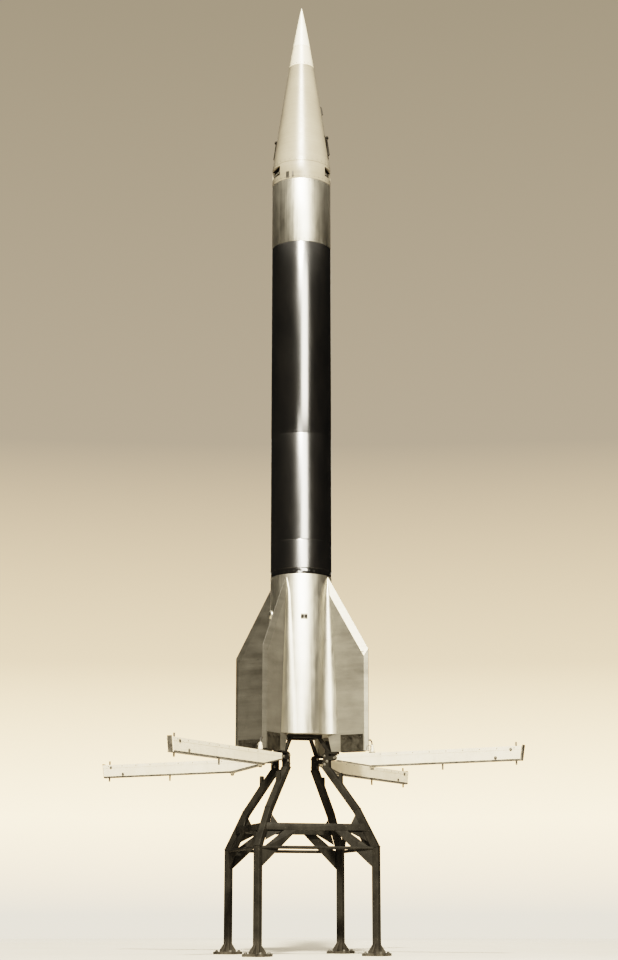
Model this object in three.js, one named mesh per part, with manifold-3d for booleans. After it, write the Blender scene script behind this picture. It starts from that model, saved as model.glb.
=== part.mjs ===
// Sounding rocket of the early 1950s on its four-legged launch table.
// Millimetres, +Z up. The origin is on the ground under the rocket's axis.
// Fins, guide arms and legs stand in four quarters: +X, +Y, -X and -Y.

import * as THREE from 'three';
import { ConvexGeometry } from 'three/addons/geometries/ConvexGeometry.js';
import { mergeVertices } from 'three/addons/utils/BufferGeometryUtils.js';
import Module from 'manifold-3d';

const wasm = await Module();
wasm.setup();

// Driving dimensions of the rocket
const BODY_R = 275;
const FIN_BOTTOM_Z = 1720;
const TAIL_BOTTOM_Z = 1875;
const TAIL_TOP_Z = 3288;
const BASE_BAND_TOP_Z = 3338;
const SKIRT_TOP_Z = 3597;
const AFT_TANK_TOP_Z = 4583;
const FORWARD_TANK_TOP_Z = 6420;
const BAY_TOP_Z = 7046;
const PORT_RING_TOP_Z = 7223;
const MAIN_CONE_TOP_Z = 8277;
const FRONT_CONE_TOP_Z = 8495;
const TIP_Z = 8920;
const TIP_ROUNDING = 9;
const NOSE_FULLNESS = 0.86;

// Gap left between pieces that touch
const GAP = 0.3;
const ROUND_SEGMENTS = 64;

// Tail and engine
const TAIL_WALL = 10;
const TAIL_FLANGE_INNER_R = 178;
const TAIL_FLANGE_THICK = 12;
const ENGINE_R = 165;
const ENGINE_BOTTOM_Z = 2300;
const NOZZLE_EXIT_R = 140;
const NOZZLE_THROAT_R = 68;
const NOZZLE_WALL = 7;
const NOZZLE_EXIT_Z = 1888;
const NOZZLE_THROAT_Z = 2190;

// Fins: outline in the quarter's own plane, u outwards and z up
const FIN_TIP_R = 675;
const FIN_HALF_THICK = 20;
const FIN_EDGE_HALF = 3;
const FIN_TOP_Z = 3277;
const FIN_KINK_Z = 2606;
const FIN_LEADING_BEVEL = 62;
const FIN_TIP_BEVEL = 35;
const FIN_HEEL_U = 316;
const FIN_HEEL_Z = 1890;

// Shoe clamped under each fin
const SHOE_U = [410, 630];
const SHOE_TOP_Z = 1864;
const SHOE_WALL = 6;

// Guide arms with their release rods
const ARM_TOP_Z = 1697;
const ARM_BOTTOM_Z = 1581;
const ARM_HALF_WIDTH = 30;
const ARM_BOX_U = 384;
const ARM_TAPER_U = 700;
const ARM_END_U = [2088, 2106];
const ARM_ROOT_BOTTOM_Z = 1640;
const EAR_HALF_WIDTH = 14;
const EAR_R = 19;
const PIN_U = 352;
const PIN_Z = 1668;
const PIN_R = 8;
const ROD_U = 705;
const ROD_R = 20;
const ROD_Z = [1570, 1765];
const ROD_TIP_R = 14;
const ROD_TIP_Z = 1553;

// Release lead from fin to rod
const LEAD_R = 6;
const LEAD_FIN_Z = 1812;

// Launch table; a leg's centre line bends at LEG_BEND and stands upright below LEG_KINK (u and z)
const LEG_HALF = 29;
const LEG_TOP_U = 256;
const LEG_BEND = [555, 1215];
const LEG_KINK = [735, 897];
const FOOT_HALF = 95;
const FOOT_THICK = 22;
const HEAD_U = [235, 290];
const HEAD_BOTTOM_Z = 1592;
const HEAD_HALF_WIDTH = 26;
const LEDGE_U = 371;
const LEDGE_THICK = 15;
const STRUT_FOOT_U = [268, 300];
const STRUT_TOP_U = [170, 202];
const STRUT_HALF_WIDTH = 13;
const CHEEK_INNER = 15.5;
const SEAT_CORNER_U = [150, 215];
const SEAT_Z = [1851, 1875];
const FRAME_Z = 1066;
const FRAME_HALF_HIGH = 29;
const FRAME_HALF_WIDE = 25;
const STOP_U = [385, 411];
const STOP_FOOT_Z = [1466, 1434];
const STOP_TOP_Z = 1536;
const STOP_HALF_WIDTH = 20;
const TIE_R = 14;
const TIE_Z = 890;

// Plates in each side of the frame, beside a leg: corners as distance along the side and height,
// then half thickness and the shift outwards from the legs' plane
const SIDE_PLATES = [
  { corners: [[0, 1040], [187, 1040], [0, 918]], halfThick: 5, outwards: -10 },
  { corners: [[0, 1092], [118, 1092], [0, 1210]], halfThick: 5, outwards: -6 },
  { corners: [[0, 855], [0, 700], [190, 1040], [300, 1040]], halfThick: 6, outwards: 6 },
];

// The quarters, seen from the front right: name and direction in degrees
const QUARTERS = [
  { name: 'front_left', degrees: -90 },
  { name: 'front_right', degrees: 0 },
  { name: 'back_right', degrees: 90 },
  { name: 'back_left', degrees: 180 },
];

// Ports cut into the ring under the nose: direction, half width, depth, low and high edge
const RING_PORTS = [
  { degrees: -128, halfWidth: 92, depth: 22, low: 7108, high: 7200 },
  { degrees: 12, halfWidth: 92, depth: 22, low: 7108, high: 7200 },
];

// Aerial blades on the nose: side, direction, low and high end
const AERIAL_BLADES = [
  { side: 'left', degrees: -165, low: 7345, high: 7545 },
  { side: 'right', degrees: 15, low: 7345, high: 7545 },
];
const BLADE_HEIGHT = 20;
const BLADE_HALF_THICK = 10;

const bareMetal = { color: 0xc9c3b4, roughness: 0.35, metalness: 0.9 };
const capMetal = { color: 0xdedacd, roughness: 0.3, metalness: 0.9 };
const blackPaint = { color: 0x0d0c0b, roughness: 0.2, metalness: 0.0 };
const darkSteel = { color: 0x4a4740, roughness: 0.6, metalness: 0.5 };
const armPaint = { color: 0xe4decd, roughness: 0.5, metalness: 0.1 };
const tablePaint = { color: 0x4b4a40, roughness: 0.6, metalness: 0.2 };
const rubberBlack = { color: 0x1b1a18, roughness: 0.8, metalness: 0.0 };

const rocketOnTable = new THREE.Group();

// Adds one named piece, turned about the vertical axis to its quarter
function addPiece(name, geometry, finish, degrees = 0) {
  const mesh = new THREE.Mesh(geometry, new THREE.MeshStandardMaterial(finish));
  mesh.name = name;
  mesh.rotation.z = THREE.MathUtils.degToRad(degrees);
  rocketOnTable.add(mesh);
}

function closedGeometry(geometry) {
  const bare = geometry.clone();
  bare.deleteAttribute('normal');
  bare.deleteAttribute('uv');
  return mergeVertices(bare, 0.001);
}

function toSolid(geometry) {
  const merged = closedGeometry(geometry);
  const vertProperties = new Float32Array(merged.attributes.position.array);
  const triVerts = new Uint32Array(merged.index.array);
  return new wasm.Manifold(new wasm.Mesh({ numProp: 3, vertProperties, triVerts }));
}

function toGeometry(solid) {
  const mesh = solid.getMesh();
  const geometry = new THREE.BufferGeometry();
  geometry.setAttribute('position', new THREE.BufferAttribute(mesh.vertProperties, 3));
  geometry.setIndex(new THREE.BufferAttribute(mesh.triVerts, 1));
  return geometry;
}

function joinAll(geometries) {
  const solids = geometries.map(toSolid);
  return toGeometry(solids.reduce((whole, next) => whole.add(next)));
}

// Turned body from [radius, height] pairs, counted from the lowest point on the outside up
function turned(pairs, segments = ROUND_SEGMENTS) {
  const points = pairs.map(([radius, height]) => new THREE.Vector2(radius, height));
  return new THREE.LatheGeometry(points, segments).rotateX(Math.PI / 2);
}

function turnedSolid(lowR, highR, lowZ, highZ) {
  return turned([[0, lowZ], [lowR, lowZ], [highR, highZ], [0, highZ]]);
}

// Plate with its outline in the u-z plane and its thickness across it
function radialPlate(outline, halfWidth, holes = []) {
  const shape = new THREE.Shape(outline.map(([u, z]) => new THREE.Vector2(u, z)));
  for (const { u, z, r } of holes) {
    shape.holes.push(new THREE.Path().absarc(u, z, r, 0, 2 * Math.PI, true));
  }
  const settings = { depth: 2 * halfWidth, bevelEnabled: false, curveSegments: 12 };
  return new THREE.ExtrudeGeometry(shape, settings).rotateX(Math.PI / 2).translate(0, halfWidth, 0);
}

function uprightCylinder(radius, lowZ, highZ, u, segments = 20) {
  const cylinder = new THREE.CylinderGeometry(radius, radius, highZ - lowZ, segments);
  return cylinder.rotateX(Math.PI / 2).translate(u, 0, (lowZ + highZ) / 2);
}

// Nose: a power curve, slightly fuller than a cone
function noseRadius(z) {
  return BODY_R * ((TIP_Z - z) / (TIP_Z - PORT_RING_TOP_Z)) ** NOSE_FULLNESS;
}

function noseProfile(lowZ, highZ, steps) {
  const profile = [];
  for (let step = 0; step <= steps; step += 1) {
    const z = THREE.MathUtils.lerp(lowZ, highZ, step / steps);
    profile.push([noseRadius(z), z]);
  }
  return profile;
}

function noseSection(lowZ, highZ, steps) {
  return turned([[0, lowZ], ...noseProfile(lowZ, highZ, steps), [0, highZ]]);
}

function noseTip() {
  const roundStart = TIP_Z - 2.2 * TIP_ROUNDING;
  const sides = noseProfile(FRONT_CONE_TOP_Z, roundStart, 3);
  return turned([[0, FRONT_CONE_TOP_Z], ...sides, [noseRadius(roundStart) * 0.6, TIP_Z - 5], [0, TIP_Z]]);
}

function portRing() {
  let ring = toSolid(turnedSolid(BODY_R, BODY_R, BAY_TOP_Z, PORT_RING_TOP_Z - GAP));
  for (const { degrees, halfWidth, depth, low, high } of RING_PORTS) {
    const cutter = new THREE.BoxGeometry(2 * depth, 2 * halfWidth, high - low);
    cutter.translate(Math.sqrt(BODY_R ** 2 - halfWidth ** 2), 0, (low + high) / 2);
    cutter.rotateZ(THREE.MathUtils.degToRad(degrees));
    ring = ring.subtract(toSolid(cutter));
  }
  return toGeometry(ring);
}

// Blade: a low fin along the cone, with both ends sloped
function aerialBlade(low, high) {
  const lowR = noseRadius(low) + GAP;
  const highR = noseRadius(high) + GAP;
  const slope = BLADE_HEIGHT;
  return radialPlate([
    [lowR, low], [noseRadius(low + slope) + BLADE_HEIGHT, low + slope],
    [noseRadius(high - slope) + BLADE_HEIGHT, high - slope], [highR, high],
  ], BLADE_HALF_THICK);
}

// Tail: a shell that is open below, with an inward flange that the seat frame bears on
function tailSection() {
  const insideR = BODY_R - TAIL_WALL;
  const deckZ = TAIL_TOP_Z - TAIL_FLANGE_THICK;
  return turned([
    [TAIL_FLANGE_INNER_R, TAIL_BOTTOM_Z],
    [BODY_R, TAIL_BOTTOM_Z],
    [BODY_R, TAIL_TOP_Z - GAP],
    [0, TAIL_TOP_Z - GAP],
    [0, deckZ],
    [insideR, deckZ],
    [insideR, TAIL_BOTTOM_Z + TAIL_FLANGE_THICK],
    [TAIL_FLANGE_INNER_R, TAIL_BOTTOM_Z + TAIL_FLANGE_THICK],
    [TAIL_FLANGE_INNER_R, TAIL_BOTTOM_Z],
  ]);
}

// Nozzle: a bell below the throat and a short cone above it
function nozzle() {
  const bell = [];
  const steps = 5;
  for (let step = 0; step <= steps; step += 1) {
    const share = step / steps;
    const radius = NOZZLE_THROAT_R + (NOZZLE_EXIT_R - NOZZLE_THROAT_R) * Math.sqrt(1 - share);
    bell.push([radius, THREE.MathUtils.lerp(NOZZLE_EXIT_Z, NOZZLE_THROAT_Z, share)]);
  }
  const topZ = ENGINE_BOTTOM_Z - GAP;
  const inner = bell.map(([radius, z]) => [radius - NOZZLE_WALL, z]).reverse();
  const above = [[ENGINE_R * 0.8, topZ], [0, topZ], [0, NOZZLE_THROAT_Z + 10]];
  return turned([...bell, ...above, ...inner, bell[0]], 48);
}

// Fin: a flat-sided wedge whose leading and outer edges are bevelled on both sides
function fin() {
  const rootU = BODY_R + GAP;
  const slope = (FIN_TOP_Z - FIN_KINK_Z) / (FIN_TIP_R - rootU);
  const drop = FIN_LEADING_BEVEL * Math.sqrt(1 + slope ** 2);
  const innerTipU = FIN_TIP_R - FIN_TIP_BEVEL;
  const edge = [[rootU, FIN_TOP_Z], [FIN_TIP_R, FIN_KINK_Z], [FIN_TIP_R, FIN_BOTTOM_Z]];
  const side = [
    [rootU, FIN_TOP_Z - drop],
    [innerTipU, FIN_TOP_Z - drop - slope * (innerTipU - rootU)],
    [innerTipU, FIN_BOTTOM_Z],
    [FIN_HEEL_U, FIN_BOTTOM_Z],
    [rootU, FIN_HEEL_Z],
  ];
  const points = [];
  for (const sign of [-1, 1]) {
    points.push(...edge.map(([u, z]) => new THREE.Vector3(u, sign * FIN_EDGE_HALF, z)));
    points.push(...side.map(([u, z]) => new THREE.Vector3(u, sign * FIN_HALF_THICK, z)));
  }
  return new ConvexGeometry(points);
}

// Shoe: a channel that holds the fin's lower edge from both sides
function finShoe() {
  const inner = FIN_HALF_THICK + GAP;
  const outer = inner + SHOE_WALL;
  const lowZ = FIN_BOTTOM_Z - GAP - SHOE_WALL;
  const outline = [
    [-outer, lowZ], [outer, lowZ], [outer, SHOE_TOP_Z], [inner, SHOE_TOP_Z],
    [inner, FIN_BOTTOM_Z - GAP], [-inner, FIN_BOTTOM_Z - GAP], [-inner, SHOE_TOP_Z], [-outer, SHOE_TOP_Z],
  ];
  const shape = new THREE.Shape(outline.map(([across, z]) => new THREE.Vector2(across, z)));
  const channel = new THREE.ExtrudeGeometry(shape, { depth: SHOE_U[1] - SHOE_U[0], bevelEnabled: false });
  return channel.rotateX(Math.PI / 2).rotateZ(Math.PI / 2).translate(SHOE_U[0], 0, 0);
}

// Guide arm: a box beam, tapered to an ear that turns on the pin, with a bore for the release rod
function guideArm() {
  const beam = radialPlate([
    [ARM_BOX_U, ARM_ROOT_BOTTOM_Z], [ARM_TAPER_U, ARM_BOTTOM_Z], [ARM_END_U[0], ARM_BOTTOM_Z],
    [ARM_END_U[1], ARM_TOP_Z], [ARM_BOX_U, ARM_TOP_Z],
  ], ARM_HALF_WIDTH);
  const ear = radialPlate([
    [PIN_U, PIN_Z - EAR_R], [ARM_BOX_U + 1, PIN_Z - EAR_R], [ARM_BOX_U + 1, PIN_Z + EAR_R],
    [PIN_U, PIN_Z + EAR_R],
    [PIN_U - EAR_R * 0.8, PIN_Z + EAR_R * 0.6], [PIN_U - EAR_R * 0.8, PIN_Z - EAR_R * 0.6],
  ], EAR_HALF_WIDTH, [{ u: PIN_U, z: PIN_Z, r: PIN_R + GAP }]);
  const bore = uprightCylinder(ROD_R + GAP, ARM_BOTTOM_Z - 20, ARM_TOP_Z + 20, ROD_U);
  return toGeometry(toSolid(beam).add(toSolid(ear)).subtract(toSolid(bore)));
}

function releaseRod() {
  return turned([
    [0, ROD_TIP_Z], [ROD_TIP_R, ROD_TIP_Z], [ROD_TIP_R, ROD_Z[0]], [ROD_R, ROD_Z[0]],
    [ROD_R, ROD_Z[1] - 40], [ROD_R - 7, ROD_Z[1]], [0, ROD_Z[1]],
  ], 20).translate(ROD_U, 0, 0);
}

// Lead: a short stiff cable that leaves the fin's outer edge and bends down to the rod's top
function releaseLead() {
  const startU = FIN_TIP_R + GAP;
  const route = new THREE.QuadraticBezierCurve3(
    new THREE.Vector3(startU, 0, LEAD_FIN_Z),
    new THREE.Vector3(ROD_U, 0, LEAD_FIN_Z),
    new THREE.Vector3(ROD_U, 0, ROD_Z[1] + GAP),
  );
  const section = new THREE.Shape().absarc(0, 0, LEAD_R, 0, 2 * Math.PI);
  return new THREE.ExtrudeGeometry(section, { steps: 10, curveSegments: 4, extrudePath: route });
}

// Points beside a bent line in the u-z plane; the first and the last keep the line's height
function besideLine(line, distance) {
  const normals = line.slice(1).map((point, index) => {
    const along = point.clone().sub(line[index]).normalize();
    return new THREE.Vector2(-along.y, along.x);
  });
  return line.map((point, index) => {
    if (index === 0 || index === normals.length) {
      const normal = normals[Math.min(index, normals.length - 1)];
      return [point.x + distance / normal.x, point.y];
    }
    const mitre = normals[index - 1].clone().add(normals[index]).normalize();
    const reach = distance / mitre.dot(normals[index]);
    return [point.x + mitre.x * reach, point.y + mitre.y * reach];
  });
}

// Leg: a tube that slants outwards with one bend and then stands upright on its foot plate,
// with a stop on its upper side that the dropped arm comes down on
function leg() {
  const centre = [
    [LEG_TOP_U, HEAD_BOTTOM_Z - GAP], LEG_BEND, LEG_KINK, [LEG_KINK[0], FOOT_THICK - 1],
  ].map(([u, z]) => new THREE.Vector2(u, z));
  const outline = [...besideLine(centre, -LEG_HALF), ...besideLine(centre, LEG_HALF).reverse()];
  const tube = radialPlate(outline, LEG_HALF);
  const foot = new THREE.BoxGeometry(2 * FOOT_HALF, 2 * FOOT_HALF, FOOT_THICK);
  const stop = radialPlate([
    [STOP_U[0], STOP_FOOT_Z[0]], [STOP_U[1], STOP_FOOT_Z[1]],
    [STOP_U[1], STOP_TOP_Z], [STOP_U[0], STOP_TOP_Z],
  ], STOP_HALF_WIDTH);
  return joinAll([tube, stop, foot.translate(LEG_KINK[0], 0, FOOT_THICK / 2)]);
}

// Head: the block on a leg's top, with the ledge under the fin, the strut up to the seat frame
// and the two cheeks that carry the guide arm's pin
function legHead() {
  const topZ = FIN_BOTTOM_Z - GAP;
  const strutTopZ = SEAT_Z[0] - GAP;
  const block = radialPlate([
    [HEAD_U[0], HEAD_BOTTOM_Z], [HEAD_U[1], HEAD_BOTTOM_Z], [HEAD_U[1], topZ - LEDGE_THICK],
    [LEDGE_U, topZ - LEDGE_THICK], [LEDGE_U, topZ],
    [STRUT_FOOT_U[0] - 5, topZ], [HEAD_U[0], topZ - LEDGE_THICK],
  ], HEAD_HALF_WIDTH);
  const strut = radialPlate([
    [STRUT_FOOT_U[0], topZ - 5], [STRUT_FOOT_U[1], topZ - 5],
    [STRUT_TOP_U[1], strutTopZ], [STRUT_TOP_U[0], strutTopZ],
  ], STRUT_HALF_WIDTH);
  const cheekHalf = (HEAD_HALF_WIDTH - CHEEK_INNER) / 2;
  const cheeks = [-1, 1].map((side) => radialPlate([
    [HEAD_U[1] - 5, PIN_Z - EAR_R], [PIN_U, PIN_Z - EAR_R], [PIN_U + EAR_R * 0.7, PIN_Z - EAR_R * 0.7],
    [PIN_U + EAR_R, PIN_Z], [PIN_U + EAR_R * 0.7, PIN_Z + EAR_R * 0.7], [PIN_U, PIN_Z + EAR_R],
    [HEAD_U[1] - 5, PIN_Z + EAR_R],
  ], cheekHalf, [{ u: PIN_U, z: PIN_Z, r: PIN_R + GAP }]).translate(0, side * (CHEEK_INNER + cheekHalf), 0));
  return joinAll([block, strut, ...cheeks]);
}

function hingePin() {
  const shank = new THREE.CylinderGeometry(PIN_R, PIN_R, 2 * HEAD_HALF_WIDTH + 2, 12);
  const heads = [-1, 1].map((side) => {
    const head = new THREE.CylinderGeometry(PIN_R + 5, PIN_R + 5, 6, 12);
    return head.translate(0, side * (HEAD_HALF_WIDTH + GAP + 3), 0);
  });
  return joinAll([shank, ...heads]).translate(PIN_U, 0, PIN_Z);
}

// Seat frame: a square of bars whose corners stand on the four struts
function seatFrame() {
  const corner = (u) => [[u, 0], [0, u], [-u, 0], [0, -u]].map(([x, y]) => new THREE.Vector2(x, y));
  const shape = new THREE.Shape(corner(SEAT_CORNER_U[1]));
  shape.holes.push(new THREE.Path(corner(SEAT_CORNER_U[0]).reverse()));
  const height = SEAT_Z[1] - GAP - SEAT_Z[0];
  return new THREE.ExtrudeGeometry(shape, { depth: height, bevelEnabled: false }).translate(0, 0, SEAT_Z[0]);
}

// Distance of the legs' centre line from the axis
function legU(z) {
  const points = [LEG_KINK, LEG_BEND, [LEG_TOP_U, HEAD_BOTTOM_Z]];
  const [low, high] = z < LEG_BEND[1] ? points.slice(0, 2) : points.slice(1);
  const share = Math.max(0, (z - low[1]) / (high[1] - low[1]));
  return THREE.MathUtils.lerp(low[0], high[0], share);
}

// Plate in the side between the leg on +X and the leg on +Y, whose plane leans in with the legs
function sidePlate({ corners, halfThick, outwards }) {
  const points = [];
  for (const [along, z] of corners) {
    for (const shift of [outwards - halfThick, outwards + halfThick]) {
      const x = legU(z) + (shift - along) * Math.SQRT1_2;
      points.push(new THREE.Vector3(x, (shift + along) * Math.SQRT1_2, z));
    }
  }
  return new ConvexGeometry(points);
}

// The same piece seen in the mirror plane x = y
function mirrored(geometry) {
  const swap = new THREE.Matrix4().set(0, 1, 0, 0, 1, 0, 0, 0, 0, 0, 1, 0, 0, 0, 0, 1);
  const copy = closedGeometry(geometry).applyMatrix4(swap);
  copy.setIndex([...copy.index.array].reverse());
  return copy;
}

// Frame side between the leg on +X and the leg on +Y: the bar, a tie rod, gussets and knee braces
function frameSide() {
  const face = LEG_HALF + GAP;
  const diagonal = Math.SQRT2 * FRAME_HALF_WIDE;
  const outerU = legU(FRAME_Z) + diagonal;
  const innerU = legU(FRAME_Z) - diagonal;
  const plan = new THREE.Shape([
    new THREE.Vector2(outerU, 0), new THREE.Vector2(0, outerU),
    new THREE.Vector2(0, innerU), new THREE.Vector2(innerU, 0),
  ]);
  const bar = new THREE.ExtrudeGeometry(plan, { depth: 2 * FRAME_HALF_HIGH, bevelEnabled: false });
  bar.translate(0, 0, FRAME_Z - FRAME_HALF_HIGH);
  const plates = SIDE_PLATES.map(sidePlate);
  const tieU = LEG_KINK[0];
  const tie = new THREE.CylinderGeometry(TIE_R, TIE_R, Math.SQRT2 * tieU, 10);
  tie.rotateZ(Math.PI / 4).translate(tieU / 2, tieU / 2, TIE_Z);
  const whole = toSolid(joinAll([bar, ...plates, ...plates.map(mirrored), tie]));

  const reach = 2 * tieU;
  const besideX = new THREE.BoxGeometry(2 * reach, 2 * face, 2 * reach).translate(0, 0, FRAME_Z);
  const besideY = new THREE.BoxGeometry(2 * face, 2 * reach, 2 * reach).translate(0, 0, FRAME_Z);
  return toGeometry(whole.subtract(toSolid(besideX)).subtract(toSolid(besideY)));
}

// The rocket's body, from the bottom up
addPiece('nozzle', nozzle(), darkSteel);
const ENGINE_TOP_Z = TAIL_TOP_Z - TAIL_FLANGE_THICK - GAP;
addPiece('engine_block', turnedSolid(ENGINE_R, ENGINE_R, ENGINE_BOTTOM_Z, ENGINE_TOP_Z), darkSteel);
addPiece('tail_section', tailSection(), bareMetal);
const BODY_SECTIONS = [
  { name: 'tank_base_band', low: TAIL_TOP_Z, high: BASE_BAND_TOP_Z, finish: blackPaint },
  { name: 'tank_skirt', low: BASE_BAND_TOP_Z, high: SKIRT_TOP_Z, finish: blackPaint },
  { name: 'aft_tank', low: SKIRT_TOP_Z, high: AFT_TANK_TOP_Z, finish: blackPaint },
  { name: 'forward_tank', low: AFT_TANK_TOP_Z, high: FORWARD_TANK_TOP_Z, finish: blackPaint },
  { name: 'instrument_bay', low: FORWARD_TANK_TOP_Z, high: BAY_TOP_Z, finish: bareMetal },
];
for (const { name, low, high, finish } of BODY_SECTIONS) {
  addPiece(name, turnedSolid(BODY_R, BODY_R, low, high - GAP), finish);
}
addPiece('port_ring', portRing(), bareMetal);
addPiece('nose_main_cone', noseSection(PORT_RING_TOP_Z, MAIN_CONE_TOP_Z - GAP, 5), bareMetal);
addPiece('nose_front_cone', noseSection(MAIN_CONE_TOP_Z, FRONT_CONE_TOP_Z - GAP, 1), bareMetal);
addPiece('nose_tip', noseTip(), capMetal);
for (const { side, degrees, low, high } of AERIAL_BLADES) {
  addPiece(`aerial_blade_${side}`, aerialBlade(low, high), darkSteel, degrees);
}

addPiece('seat_frame', seatFrame(), tablePaint);
for (const { name, degrees } of QUARTERS) {
  addPiece(`fin_${name}`, fin(), bareMetal, degrees);
  addPiece(`fin_shoe_${name}`, finShoe(), darkSteel, degrees);
  addPiece(`release_lead_${name}`, releaseLead(), rubberBlack, degrees);
  addPiece(`guide_arm_${name}`, guideArm(), armPaint, degrees);
  addPiece(`release_rod_${name}`, releaseRod(), armPaint, degrees);
  addPiece(`arm_pin_${name}`, hingePin(), darkSteel, degrees);
  addPiece(`leg_head_${name}`, legHead(), tablePaint, degrees);
  addPiece(`leg_${name}`, leg(), tablePaint, degrees);
  addPiece(`frame_side_${name}`, frameSide(), tablePaint, degrees);
}

export default rocketOnTable;
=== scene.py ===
"""Sounding rocket of the early 1950s, standing on its launch table with four guide arms.

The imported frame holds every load-bearing piece at its real size. This script turns the round
sections finely, dresses every surface, adds the small fittings and lights a plain studio.
Lengths are metres. The origin is on the ground under the rocket's axis, with +Z up.
"""
import logging
import math
from dataclasses import dataclass, field
from enum import Enum
from typing import Iterable, Sequence

import bmesh
import bpy
from mathutils import Matrix, Vector


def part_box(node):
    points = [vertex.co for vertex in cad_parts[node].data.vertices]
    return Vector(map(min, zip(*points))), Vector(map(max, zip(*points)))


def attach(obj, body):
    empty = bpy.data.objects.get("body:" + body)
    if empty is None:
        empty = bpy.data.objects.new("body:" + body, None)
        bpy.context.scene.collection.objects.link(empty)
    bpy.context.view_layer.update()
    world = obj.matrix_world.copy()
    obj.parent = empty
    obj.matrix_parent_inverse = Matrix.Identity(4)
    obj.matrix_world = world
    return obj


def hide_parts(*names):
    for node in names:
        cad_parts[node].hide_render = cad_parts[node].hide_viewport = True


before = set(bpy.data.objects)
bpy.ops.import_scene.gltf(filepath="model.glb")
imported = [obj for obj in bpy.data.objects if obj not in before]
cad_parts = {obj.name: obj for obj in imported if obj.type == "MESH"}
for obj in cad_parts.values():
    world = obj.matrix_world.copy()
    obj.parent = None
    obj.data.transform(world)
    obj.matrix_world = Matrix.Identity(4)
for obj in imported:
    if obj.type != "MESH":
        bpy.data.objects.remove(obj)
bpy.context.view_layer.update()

ROOT_BODY = "rocket_and_table"
FINE_TURNS = 192
LOWER_FIN_SEAM, UPPER_FIN_SEAM = 2.250, 2.584

Colour = tuple[float, float, float]
Pair = tuple[float, float]

log = logging.getLogger("rocket")


class Quarter(Enum):
    """The four quarters that hold a fin, a guide arm and a leg, with their direction in degrees."""

    FRONT_LEFT = -90.0
    FRONT_RIGHT = 0.0
    BACK_RIGHT = 90.0
    BACK_LEFT = 180.0

    @property
    def label(self) -> str:
        """The quarter's name as it stands in the names of nodes and bodies."""
        return self.name.lower()

    @property
    def turn(self) -> Matrix:
        """The turn about the rocket's axis that brings a piece built along +X to this quarter."""
        return about_axis(self.value)


class Grain(Enum):
    """The way that rolling or turning marks run on bare metal, as stretch factors of the noise."""

    UPRIGHT = (70.0, 70.0, 1.3)
    LEVEL = (1.1, 1.1, 55.0)
    ROUND = (1.6, 1.6, 120.0)


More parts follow.
